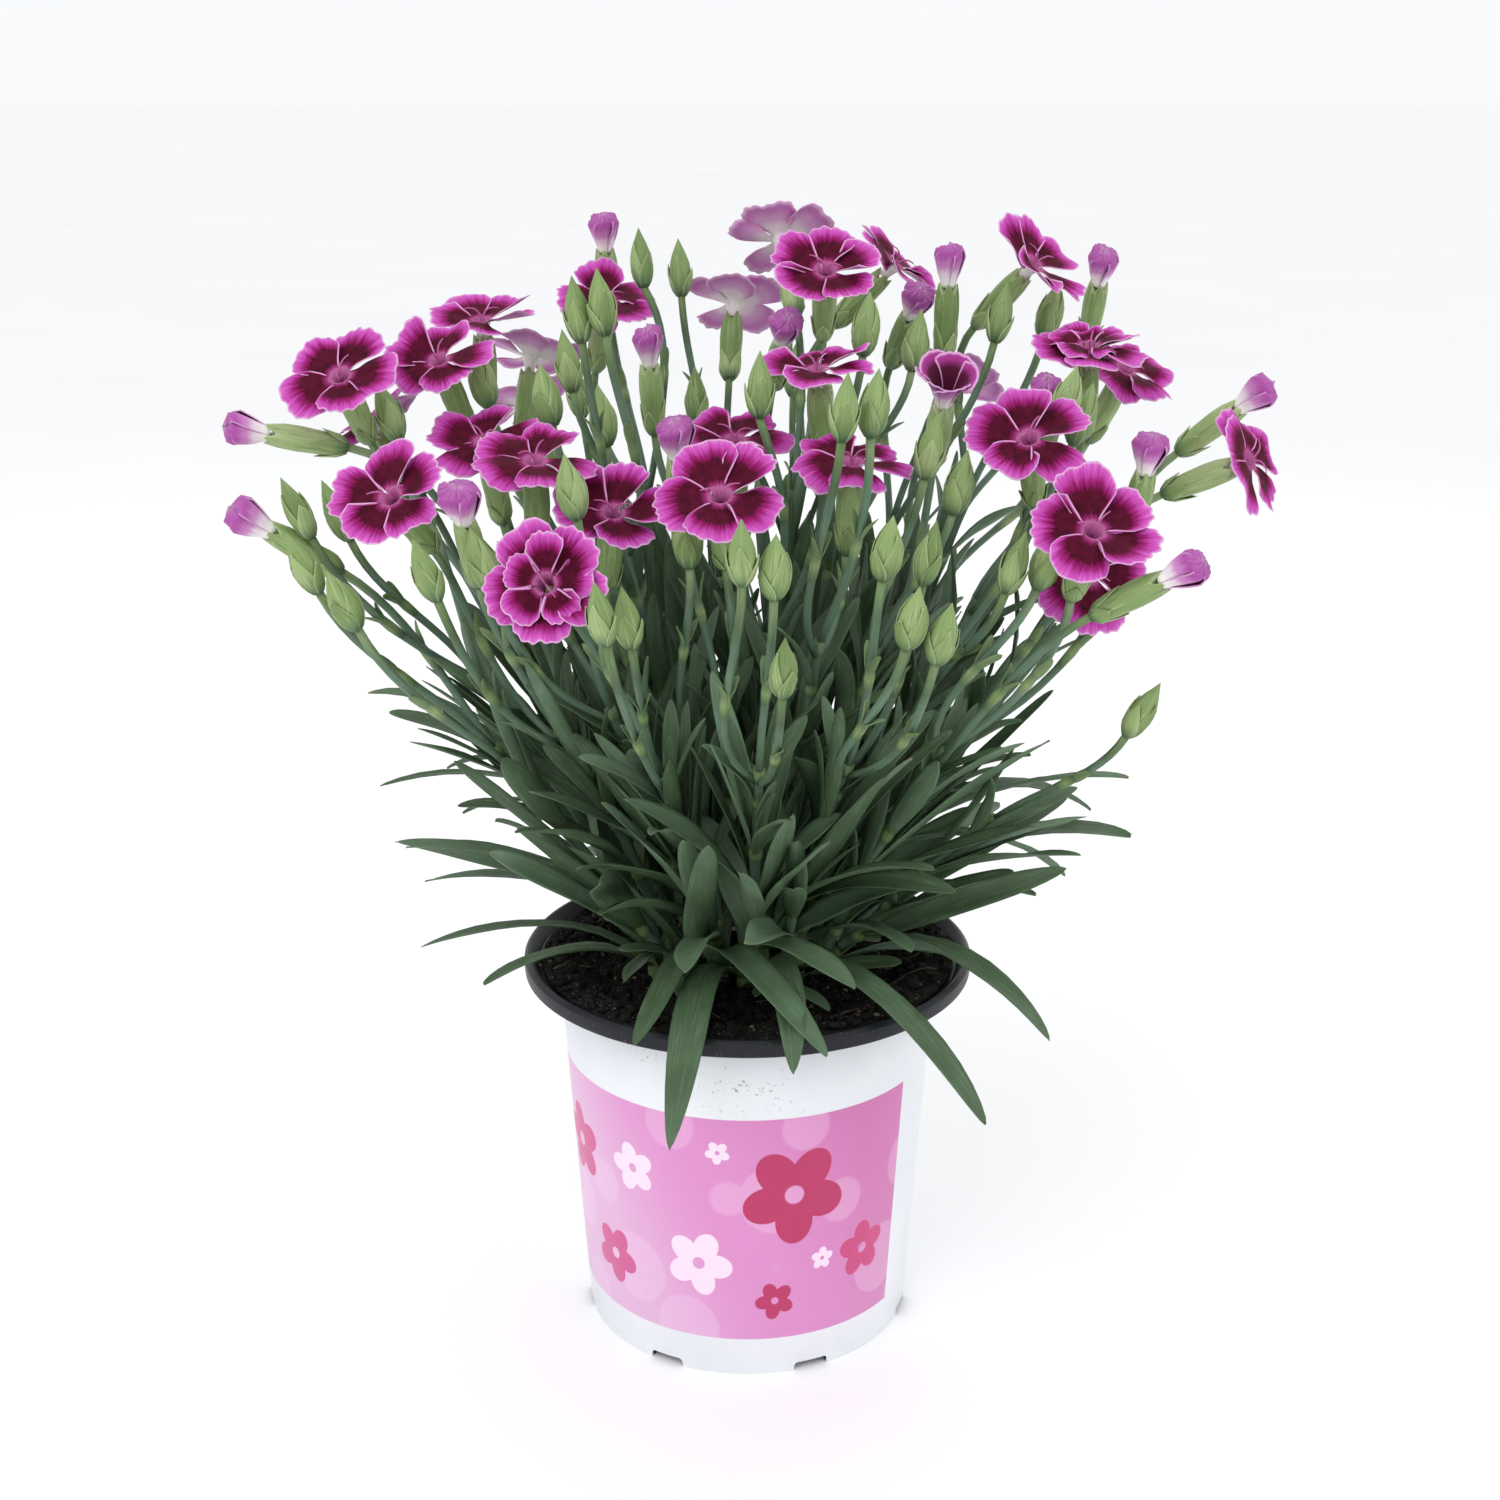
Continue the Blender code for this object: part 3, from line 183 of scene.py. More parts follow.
# Each spray is a list of stems. A stem is a list of heads, and a head is its kind, its
# place x, y, z, and where an open flower faces: degrees to the right of the front, then
# degrees up from level. A closed bud points away from the crown.
SPRAYS = (
    (
        (("half", -124, -5, 245, -78, 12), ("bud", -99, -25, 229), ("bud", -107, -32, 231)),
        (("half", -117, -36, 229, -70, 35), ("bud", -103, -47, 221), ("bud", -93, -54, 214)),
    ),
    (
        (("bloom", -83, -42, 236, -22, 42), ("half", -66, -46, 235, -10, 62), ("bud", -73, -58, 222)),
        (("bloom", -50, -32, 243, 5, 72), ("bud", -40, -52, 240), ("bud", -62, -46, 222)),
    ),
    (
        (("bloom", -100, -6, 259, -14, 50), ("bloom", -99, 22, 244, -100, 55)),
        (("bloom", -80, 24, 259, -25, 58), ("bud", -92, 14, 247)),
    ),
    (
        (("bloom", -71, 46, 267, 0, 80), ("bloom", -60, 64, 255, 170, 66), ("bud", -69, 24, 254)),
        (("bloom", -66, 100, 236, -145, 50), ("bud", -50, 96, 240)),
    ),
    (
        (("double", -44, -76, 223, -6, 27), ("bud", -27, -66, 213), ("bud", -32, -78, 217)),
        (("bloom", -31, -44, 233, 12, 60), ("bud", -14, -40, 226)),
    ),
    (
        (("bud", -35, -12, 277), ("bud", -41, -10, 275), ("bud", -46, 18, 259), ("bud", -50, 0, 253)),
        (("bloom", -39, 66, 270, 20, 60), ("half", -40, 76, 287, -5, 70), ("bud", -29, 62, 281)),
        (("bud", -37, 12, 246), ("bloom", -66, 2, 242, -20, 70)),
    ),
    (
        (("bloom", -4, 88, 267, 175, 56), ("bud", -19, 78, 277)),
        (("half", -26, 32, 261, -10, 75), ("half", 10, 34, 265, 10, 45), ("bud", -14, 52, 245)),
        (("bud", 14, 110, 244), ("bud", 22, 104, 238)),
    ),
    (
        (("bloom", 9, 62, 287, 195, 52), ("bloom", 20, 22, 282, 0, 52)),
        (("bloom", 41, 62, 280, 78, 45), ("bud", 30, 12, 269), ("bud", 44, 28, 263)),
    ),
    (
        (("bloom", -6, -55, 239, -4, 54), ("half", -17, -22, 246, -8, 70)),
        (("bud", -1, -93, 234), ("bud", 6, -89, 230), ("bud", 8, -86, 207)),
    ),
    (
        (("bloom", 17, -6, 261, -30, 80), ("bloom", -3, -8, 244, 0, 74), ("bud", 3, -24, 259)),
        (("bud", 22, -52, 258), ("bud", 29, -46, 258), ("bloom", 25, -28, 242, 8, 76)),
    ),
    (
        (("trumpet", 48, -15, 257, 6, 58), ("bud", 43, -34, 246), ("bud", 51, -26, 236)),
        (("half", 45, 46, 271, 20, 50), ("half", 52, 30, 282, 0, 78), ("bud", 66, 30, 270)),
    ),
    (
        (("bloom", 67, -25, 247, -16, 52), ("half", 75, 6, 252, 5, 70), ("bud", 62, -50, 222)),
        (("bud", 31, -71, 230), ("bud", 41, -62, 227), ("bud", 36, -82, 217), ("bud", 43, -80, 213)),
    ),
    (
        (("bloom", 78, -60, 232, 8, 52), ("half", 96, -72, 225, 55, 32), ("bud", 70, -46, 222)),
        (("bloom", 82, -35, 216, 6, 28), ("half", 97, -20, 242, 10, 68)),
        (("bud", 95, -42, 184),),
        (("bloom", 124, -12, 239, 58, 26), ("half", 128, 6, 252, 62, 40)),
    ),
    (
        (("double", 87, 15, 263, 0, 76), ("bud", 84, 2, 248), ("bud", 79, -4, 253)),
        (("bloom", 76, 40, 282, 58, 46), ("half", 98, 70, 278, 5, 62), ("bud", 82, 52, 268)),
        (("bloom", 102, 44, 254, 40, 60), ("bloom", 62, 96, 244, 140, 50)),
    ),
)

# Long leaves that reach out over the rim: tip x, y, z and width
RIM_LEAVES = (
    (-18, -88, 91, 9.5),
    (57, -74, 90, 8.5),
    (11, -75, 104, 8.5),
    (19, -70, 106, 12.0),
    (-27, -68, 108, 7.5),
    (-66, -42, 112, 8.0),
    (-86, -14, 110, 6.0),
    (-88, 10, 119, 6.5),
    (63, -22, 106, 9.0),
    (84, -6, 127, 9.5),
    (102, 0, 136, 12.5),
    (93, 12, 139, 9.0),
    (-79, 0, 155, 6.5),
    (-99, 2, 175, 5.0),
    (-76, 4, 141, 6.5),
    (-98, 6, 148, 3.5),
    (-52, 62, 108, 8.0),
    (-20, 84, 104, 9.0),
    (26, 80, 112, 8.0),
    (60, 60, 104, 9.0),
    (-64, 56, 118, 8.5),
)
LEAF_THICKNESS = 0.9
LEAF_GROOVE = 0.24
LEAF_STATIONS = (0.3, 0.68)
LEAF_WIDEST = 0.35
RIM_CLEAR = 113.0
LEAF_DRAWS = 24
BLADE_THICKNESS = 0.55
LEAF_TWIST = 1.1
LEAF_WAVE = 0.05
SEAT = 0.7
NO_GROWTH = (0.0, 0.0, 0.0)

# Leaf pairs up a stem: how far up, then length, width and the angles at base and tip
PAIRS = (
    (0.13, 66.0, 8.4, 32.0, 66.0),
    (0.36, 56.0, 7.4, 24.0, 50.0),
    (0.60, 44.0, 6.2, 20.0, 42.0),
    (0.86, 27.0, 4.6, 18.0, 40.0),
)

# Extra leaves of the crown, long ones and then short ones that hang over the soil: how many,
# how often each is tried, and how much it leans out. Then ranges of its rise from the crown's
# base, its angle at the base, the turn to its tip, its length and its width. A tip past the
# last radius and under the height would lie on the rim, and it keeps a distance to the soil.
CROWN_FILL = (
    (17, 6, 0.7, (-1.0, 12.0), (6.0, 46.0), (4.0, 30.0), (46.0, 84.0), (6.0, 9.0), (42.0, 124.0, 4.0)),
    (3, 8, 0.9, (-2.0, 5.0), (55.0, 82.0), (10.0, 45.0), (22.0, 36.0), (5.0, 7.5), (50.0, math.inf, 2.0)),
)

# Extra steep leaves of a stem: between two heights, with a length, a width and a number
STEM_FILL = (
    (0.06, 0.3, 66.0, 7.5, 4),
    (0.25, 0.5, 58.0, 6.0, 5),
    (0.45, 0.75, 44.0, 4.6, 4),
    (0.65, 0.9, 26.0, 3.6, 2),
)
STEM_FILL_TRIES = 6
FILL_FEET = (1.5, 1.2)
FILL_CLEARANCE = 0.05

# Print on the pot: a panel between two angles and two heights, with blossoms at a distance
# round the wall from the front and at a height
PANEL_SIDES = (-96.0, 56.0)
PANEL_FOOT = 11.0
PANEL_TOP = 78.0
PRINT_SOFT = 0.3
DISC_SPACING = 24.0
VALLEY = 0.62
PRINTED_BLOSSOMS = (
    ((13.0, 55.0), 15.0, 0.3, "#b83062"),
    ((36.0, 33.0), 8.5, 0.9, "#c9417c"),
    ((-14.0, 34.0), 10.0, 0.1, "#f3dcee"),
    ((8.0, 23.0), 6.0, 0.5, "#b83062"),
    ((-34.0, 58.0), 7.5, 0.7, "#f3dcee"),
    ((-44.0, 28.0), 9.0, 0.2, "#cf5690"),
    ((-60.0, 56.0), 11.0, 0.8, "#cf5690"),
    ((-8.0, 68.0), 3.6, 0.4, "#f3dcee"),
    ((22.0, 34.0), 3.6, 1.0, "#f3dcee"),
)

# Studio in metres, and the photograph's view: 1500 pixels wide, looking along +Y and down
PHOTO_PIXELS = 1500
FOCAL_PIXELS = 2085
PITCH_DOWN = 18.1
SENSOR_WIDTH = 36.0
FLOOR_SIZE = 40.0
AIR_LIGHT = 0.98
AIM = (0.0, 0.0, 0.16)
LAMPS = (
    ("key_light", (-0.45, -0.75, 0.95), 0.7, 3.4),
    ("fill_light", (0.8, -0.5, 0.6), 0.8, 1.0),
    ("back_light", (0.2, 0.8, 0.8), 0.8, 1.2),
)

# Settings of the nodes that the materials use most, and the detail and roughness of most noises
PRODUCT = {"operation": "MULTIPLY"}
PRODUCT_AND_SUM = {"operation": "MULTIPLY_ADD"}
EASED = {"interpolation_type": "SMOOTHSTEP"}
COLOURS = {"data_type": "RGBA"}
SOFT = (3.0, 0.55)


def share(height):
    """How far out a stem has gone, from the crown at 0 to its heads at 1."""
    return ROOT_SHARE + (1.0 - ROOT_SHARE) * (0.78 * height + 0.22 * height * height)


def facing(azimuth, tilt):
    """The direction that a flower faces."""
    turn = math.radians(azimuth)
    rise = math.radians(tilt)
    return Vector((math.sin(turn) * math.cos(rise), -math.cos(turn) * math.cos(rise), math.sin(rise)))


def facing_level(angle):
    """The level direction at an angle from +X towards +Y."""
    return Vector((math.cos(angle), math.sin(angle), 0.0))


def square_to(direction, hint):
    """The part of a hint that is square to a direction, at unit length."""
    flat = hint - direction * direction.dot(hint)
    return flat.normalized()


def across(direction):
    """Two directions square to this one, which turn to the left seen from its end."""
    hint = Vector((0.0, 0.0, 1.0)) if abs(direction.z) < 0.9 else Vector((0.0, 1.0, 0.0))
    one = square_to(direction, hint)
    return one, direction.cross(one)


def bezier(curve, t):
    """A point on a cubic curve through its four control points."""
    a, b, c, d = curve
    s = 1.0 - t
    return a * s**3 + b * (3 * s * s * t) + c * (3 * s * t * t) + d * t**3


def heading(curve, t):
    """The direction in which a cubic curve runs at t."""
    a, b, c, d = curve
    s = 1.0 - t
    return ((b - a) * (s * s) + (c - b) * (2 * s * t) + (d - c) * (t * t)).normalized()


def ring(centre, direction, radius, sides, first=None, fold=0.0):
    """Points to the left round an axis, from a first direction. A fold draws every second one in."""
    one = across(direction)[0] if first is None else square_to(direction, first)
    two = direction.cross(one)
    points = []
    for i in range(sides):
        angle = math.tau * i / sides
        reach = radius * (1.0 - fold * (i % 2))
        points.append(centre + (one * math.cos(angle) + two * math.sin(angle)) * reach)
    return points


def loft(rings):
    """The closed skin over rings of equal numbers of points. A ring of one point is a tip.

    The diagonals run alike on both faces of a blade, from even corners to odd ones.
    """
    points = [point for row in rings for point in row]
    faces = [(i + 1, i, 0) for i in range(1, len(rings[0]) - 1)]
    start = 0
    for row, after in zip(rings, rings[1:]):
        above = start + len(row)
        count = max(len(row), len(after))
        for i in range(count):
            j = (i + 1) % count
            low, next_low = start + i % len(row), start + j % len(row)
            high, next_high = above + i % len(after), above + j % len(after)
            if i % 2 == 0:
                faces += [(low, next_low, next_high), (low, next_high, high)]
            else:
                faces += [(low, next_low, high), (next_low, next_high, high)]
        start = above
    faces += [(start, start + i, start + i + 1) for i in range(1, len(rings[-1]) - 1)]
    return points, [face for face in faces if len(set(face)) == 3]


def stacked(foot, axis, rows, sides, extra=0.0):
    """Rings along an axis. A row is a rise, a radius, which is 0 at a tip, and the depth of any folds."""
    rings = []
    for rise, radius, *fold in rows:
        centre = foot + axis * rise
        rings.append(ring(centre, axis, radius + extra, sides, None, *fold) if radius else [centre])
    return rings


def path_shape(points, radius, sides=6):
    """A closed tube along a row of points."""
    rings = []
    for i, point in enumerate(points):
        before = points[max(i - 1, 0)]
        after = points[min(i + 1, len(points) - 1)]
        rings.append(ring(point, (after - before).normalized(), radius, sides))
    return loft(rings)


def leaf_width(t):
    """The share of a leaf's full width at t along it."""
    base = 0.5 + 0.5 * math.sin(min(t / LEAF_WIDEST, 1.0) * math.pi / 2)
    return base * (1.0 - max(0.0, (t - LEAF_WIDEST) / (1.0 - LEAF_WIDEST)) ** 2.2)


def leaf_sections(leaf, extra):
    """A grooved blade that narrows to a point: left edge, keel, right edge and groove at each station."""
    sections = []
    for t in LEAF_STATIONS:
        point = bezier(leaf["curve"], t)
        run = heading(leaf["curve"], t)
        face = square_to(run, leaf["face"])
        side = run.cross(face)
        half = leaf["width"] / 2 * leaf_width(t) + extra
        lift = face * (half * LEAF_GROOVE)
        thick = face * (LEAF_THICKNESS / 2 * (1.0 - 0.3 * t) + extra)
        left, right = (point + side * way + lift for way in (half, -half))
        sections.append([left, point - thick, right, point + thick])
    return sections + [[bezier(leaf["curve"], 1.0) + heading(leaf["curve"], 1.0) * extra]]


def leaf_shape(leaf, start, extra=0.0):
    """A leaf from a share of the way between the opening it grows from and its first section."""
    sections = leaf_sections(leaf, extra)
    centre = sum(leaf["gap"], Vector()) / 4
    foot = []
    for corner, point in zip(leaf["gap"], sections[0]):
        wide = corner + (corner - centre).normalized() * extra
        foot.append(wide.lerp(point, start))
    return loft([foot, *sections])


def head_base(head):
    """Where the stalk meets a head."""
    length = BUD_LENGTH / 2 if head["kind"] == "bud" else CALYX_MOUTH + CALYX_LENGTH
    return head["centre"] - head["axis"] * length


def green_shape(head, extra):
    """The bud, or the calyx that holds the petals, from the end of its stalk on."""
    rows = [(-extra, BRANCH_RADIUS)]
    if head["kind"] == "bud":
        rows += [(BUD_BELLY, BUD_RADIUS), (BUD_SHOULDER, BUD_RADIUS * 0.86), (BUD_LENGTH + extra, 0.0)]
    else:
        rows += [(CALYX_BELLY, CALYX_RADIUS * 0.9), (CALYX_LENGTH, CALYX_RADIUS)]
    return loft(stacked(head_base(head), head["axis"], rows, GREEN_SIDES, extra))


def petals_shape(head, extra):
    """The space that petals take up: a folded roll, a trumpet with a hollow top, or a flat disc."""
    foot, sides = head["centre"] - head["axis"] * (CALYX_MOUTH - GAP), ROLL_SIDES
    rows = [(0.0, ROLL_FOOT)]
    if head["kind"] == "half":
        rows += [(5.5, 3.9, 0.18), (9.0, 3.2, 0.25), (11.5 + extra, 0.0)]
    elif head["kind"] == "trumpet":
        rows += [(6.0, 4.2, 0.15), (11.0 + extra, 7.6, 0.18), (9.0 + 3 * extra, 0.0)]
    else:
        foot, sides = head["centre"], HULL_SIDES
        rows = [(-CALYX_MOUTH, HULL_FOOT - extra), (-2.4, BLOOM_RADIUS)]
        rows += [(1.4 + extra, BLOOM_RADIUS), (1.6 + extra, 0.0)]
    return loft(stacked(foot, head["axis"], rows, sides, extra))


def head_shapes(head, extra=0.0):
    """The shapes of a head: its green part, then the space of its petals."""
    shapes = [green_shape(head, extra)]
    if head["kind"] != "bud":
        shapes.append(petals_shape(head, extra))
    return shapes


class Placed:
    """The shapes that stand already, so that a new one is bent clear of them."""

    def __init__(self):
        self.shapes = []

    def add(self, key, shape):
        self.shapes.append((key, BVHTree.FromPolygons(*shape)))

    def clear(self, shape, ignored=()):
        """Whether a shape crosses none of those placed, but for those with an ignored key."""
        tree = BVHTree.FromPolygons(*shape)
        return not any(tree.overlap(other) for key, other in self.shapes if key not in ignored)


def wall_radius(height):
    """The outer radius of the white wall."""
    return WALL_FOOT_RADIUS + (WALL_TOP_RADIUS - WALL_FOOT_RADIUS) * height / WALL_TOP


def pot_profile():
    """The black body in half section, from the middle of its floor over the rim and back."""
    outside = SKIN + GAP
    inside = outside + WALL
    return (
        (0.0, FLOOR_TOP),
        (wall_radius(FLOOR_TOP) - inside, FLOOR_TOP),
        (wall_radius(WALL_TOP) - inside, WALL_TOP + GAP + WALL),
        (RIM_RADIUS - RIM_LIP - RIM_SLOPE, LEDGE),
        (RIM_RADIUS - RIM_LIP, POT_HEIGHT - RIM_ROUND),
        (RIM_RADIUS - RIM_LIP + RIM_ROUND, POT_HEIGHT),
        (RIM_RADIUS - RIM_ROUND, POT_HEIGHT),
        (RIM_RADIUS, POT_HEIGHT - RIM_ROUND),
        (RIM_RADIUS, POT_HEIGHT - RIM_HEIGHT + 0.4),
        (RIM_RADIUS - 0.5, POT_HEIGHT - RIM_HEIGHT),
        (WALL_TOP_RADIUS + 0.4, WALL_TOP + GAP),
        (wall_radius(WALL_TOP) - outside, WALL_TOP + GAP),
        (wall_radius(0.0) - outside, 0.0),
        (wall_radius(0.0) - inside - 0.2, 0.0),
        (wall_radius(FLOOR_UNDERSIDE) - inside - 0.2, FLOOR_UNDERSIDE),
        (BOSS_RADIUS, FLOOR_UNDERSIDE),
        (BOSS_RADIUS - 1.0, 0.0),
        (0.0, 0.0),
    )


def skin_profile():
    """The white layer of the wall in half section, all the way round."""
    return (
        (wall_radius(WALL_TOP), WALL_TOP),
        (wall_radius(0.0), 0.0),
        (wall_radius(0.0) - SKIN, 0.0),
        (wall_radius(WALL_TOP) - SKIN, WALL_TOP),
    )


def soil_height(x, y):
    """The lumpy top of the soil, a little higher in the middle."""
    edge = min(math.hypot(x, y) / BANK_RADIUS, 1.0)
    top, foot = SOIL_RINGS[:2]
    bank = min(max(edge - foot, 0.0) / (top - foot), 1.0)
    lumps = math.sin(0.31 * x + 1.3) * math.cos(0.27 * y) + 0.7 * math.sin(0.53 * x - 0.41 * y)
    level = SOIL_EDGE + (1.0 - edge**2) * SOIL_RISE + lumps * SOIL_LUMP
    return level + (BANK_HEIGHT - level) * bank


def soil_side():
    """The soil's side as heights and radii, from its underside to its bank."""
    inset = SKIN + WALL + 3 * GAP
    return (
        (FLOOR_TOP + GAP, wall_radius(FLOOR_TOP) - inset),
        (WALL_TOP + WALL + 3 * GAP, wall_radius(WALL_TOP) - inset),
        (LEDGE + GAP, BANK_RADIUS),
        (BANK_HEIGHT, BANK_RADIUS),
    )


def soil_shape():
    """The soil fills the pot to just under its rim."""
    rings = stacked(Vector(), UP, ((FLOOR_TOP + GAP, 0.0), *soil_side()), SOIL_SIDES)
    for reach in SOIL_RINGS:
        level = ring(Vector(), UP, BANK_RADIUS * reach, SOIL_SIDES)
        rings.append([Vector((point.x, point.y, soil_height(point.x, point.y))) for point in level])
    return loft([*rings, [UP * soil_height(0.0, 0.0)]])


def turned_shape(profile):
    """The skin that a profile sweeps round the pot's axis."""
    return loft(stacked(Vector(), UP, [(height, radius) for radius, height in profile], TURNED_STEPS))


def read_head(entry):
    """A head as its kind, the middle of its petals and its axis."""
    kind = entry[0]
    centre = Vector(entry[1:4])
    if len(entry) > 4:
        axis = facing(entry[4], entry[5])
    else:
        away = (centre - UP * BUD_AIM).normalized()
        axis = (away + UP * BUD_LIFT).normalized()
    return {"kind": kind, "centre": centre, "axis": axis}


def place_heads(placed):
    """Reads the table and slides each head along the line of sight until it is clear."""
    sprays = []
    for s, stems in enumerate(SPRAYS):
        spray = []
        for m, entries in enumerate(stems):
            heads = []
            for h, entry in enumerate(entries):
                head = read_head(entry)
                home = head["centre"].copy()
                sight = (home - EYE).normalized()
                for step in range(SLIDES):
                    slide = (step + 1) // 2 * SLIDE * (1 if step % 2 else -1)
                    head["centre"] = home + sight * slide
                    if all(placed.clear(shape) for shape in head_shapes(head, CLEARANCE)):
                        break
                head["key"] = ("head", s, m, h)
                for shape in head_shapes(head):
                    placed.add(head["key"], shape)
                heads.append(head)
            spray.append(heads)
        sprays.append(spray)
    return sprays


def middle(heads):
    """The mean of the places where the stalks end."""
    return sum((head_base(head) for head in heads), Vector()) / len(heads)


def stem_point(stem, height):
    """Where a stem is at a share of its height, spreading from the crown towards its heads."""
    rise = (stem["top"] - stem["foot"].z) * height
    whole = rise / (stem["end"].z - stem["foot"].z)
    blend = min(1.0, height / OWN_WAY)
    out = (stem["hub"] * (1.0 - blend) + stem["end"] * blend) * share(whole)
    out += stem["bend"] * math.sin(math.pi * height) + stem["push"] * max(0.0, 1.0 - height / PUSH_END)
    start = max(0.0, 1.0 - height / FOOT_END)
    point = Vector((out.x, out.y, stem["foot"].z + rise))
    level = Vector((stem["foot"].x, stem["foot"].y, point.z))
    return point.lerp(level, start)


def stem_heading(stem, height):
    """The direction in which a stem runs at a share of its height."""
    low = stem_point(stem, max(height - 0.03, 0.0))
    return (stem_point(stem, height + 0.03) - low).normalized()


def stem_stations(stem):
    """The heights of a stem's rings: two at each joint, with the joint's pair of leaves or None."""
    half = NODE_HEIGHT / 2 / (stem["top"] - stem["foot"].z)
    joints = [(height, k) for k, (height, *_) in enumerate(PAIRS)] + [(1.0 - 3 * half, None)]
    return [(height - half, height + half, k) for height, k in joints]


def stem_ring(stem, height):
    """A stem's four corners at a share of its height."""
    radius = STEM_RADIUS * (1.12 - 0.22 * height)
    return ring(stem_point(stem, height), stem_heading(stem, height), radius, 4, stem["first"])


def stem_gap(stem, low, high, side):
    """The four corners of one side of a joint."""
    lower, upper = stem_ring(stem, low), stem_ring(stem, high)
    after = (side + 1) % 4
    return [lower[side], lower[after], upper[after], upper[side]]


def stem_path(stem):
    """The middle line of a stem through its rings."""
    heights = [height for low, high, _ in stem_stations(stem) for height in (low, high)]
    points = [stem_point(stem, height) for height in heights]
    return [stem["foot"]] + points


def trimmed(path, share_off):
    """A path without the first part of its first stretch, where it leaves what carries it."""
    return [path[0].lerp(path[1], share_off)] + path[1:]


def crown_gap(spray, level, side):
    """The four corners of one side of the crown."""
    first = facing_level(spray["turn"])
    spots = [spray["root"] + UP * (CROWN_BASE + CROWN_STEP * step) for step in (level, level + 1)]
    lower, upper = (ring(spot, UP, ROOT_RADIUS, ROOT_SIDES, first) for spot in spots)
    after = (side + 1) % ROOT_SIDES
    return [lower[side], lower[after], upper[after], upper[side]]


def crown_side(spray, level, direction):
    """The free side of the crown that looks most nearly in a direction, and its middle."""
    best = None
    for side in range(ROOT_SIDES):
        if (level, side) in spray["sides"]:
            continue
        out = facing_level(spray["turn"] + math.tau * (side + 0.5) / ROOT_SIDES)
        match = out.dot(direction)
        if best is None or match > best[0]:
            best = (match, side, out)
    match, side, out = best
    spot = spray["root"] + out * (ROOT_RADIUS * math.cos(math.pi / ROOT_SIDES))
    spot.z = CROWN_BASE + CROWN_STEP * (level + 0.5)
    return match, side, spot, out


def place_stems(sprays, placed, draw):
    """Runs each spray's root and stems up from the crown, bent clear of the heads."""
    plan = []
    for s, heads_of_stems in enumerate(sprays):
        heads_of_stems = sorted(heads_of_stems, key=lambda heads: middle(heads).xy.length)
        ends = [middle(heads) for heads in heads_of_stems]
        hub = sum(ends, Vector((0.0, 0.0, 0.0))) / len(ends)
        root = Vector((hub.x * ROOT_SHARE, hub.y * ROOT_SHARE, 0.0))
        spray = {"root": root, "foot": soil_height(root.x, root.y) - ROOT_DEPTH, "stems": [], "sides": {}}
        spray["turn"] = draw.uniform(0.0, math.tau)
        upright = [root + UP * spray["foot"], root + UP * CROWN_TOP]
        placed.add(("root", s), path_shape(upright, ROOT_RADIUS))
        for m, end in enumerate(ends):
            stem = {"hub": hub, "end": end, "leaves": {}, "heads": heads_of_stems[m], "limbs": {}}
            stem["top"] = max(end.z - BRANCH_LENGTH, CROWN_TOP + CROWN_TO_JOINT)
            stem["foot"] = root + UP * CROWN_TOP
            stem["first"] = facing_level(spray["turn"])
            stem["push"] = Vector((0.0, 0.0, 0.0))
            own = {("root", s)}
            if m:
                way = Vector((end.x - ends[0].x, end.y - ends[0].y, 0.0)).normalized()
                _, side, spot, out = crown_side(spray, CROWN_LEVELS - 1, way)
                spray["sides"][(CROWN_LEVELS - 1, side)] = stem
                stem["foot"] = spot + out * SIDE_STEM_START
                stem["first"] = out + out.cross(UP)
                stem["push"] = out * SIDE_STEM_PUSH
            for attempt in range(STEM_DRAWS):
                sway = 0.25 * attempt
                stem["bend"] = Vector((draw.uniform(-sway, sway), draw.uniform(-sway, sway), 0.0))
                path = stem_path(stem)
                if placed.clear(path_shape(trimmed(path, 0.3), STEM_RADIUS + CLEARANCE), own):
                    break
            stem["key"] = ("stem", s, m)
            placed.add(stem["key"], path_shape(path, STEM_RADIUS))
            spray["stems"].append(stem)
        plan.append(spray)
    return plan


def stem_side(stem, height, side):
    """The outward direction of one of a stem's four sides."""
    along = stem_heading(stem, height)
    one = square_to(along, stem["first"])
    two = along.cross(one)
    angle = math.pi / 4 + math.pi / 2 * side
    return one * math.cos(angle) + two * math.sin(angle)


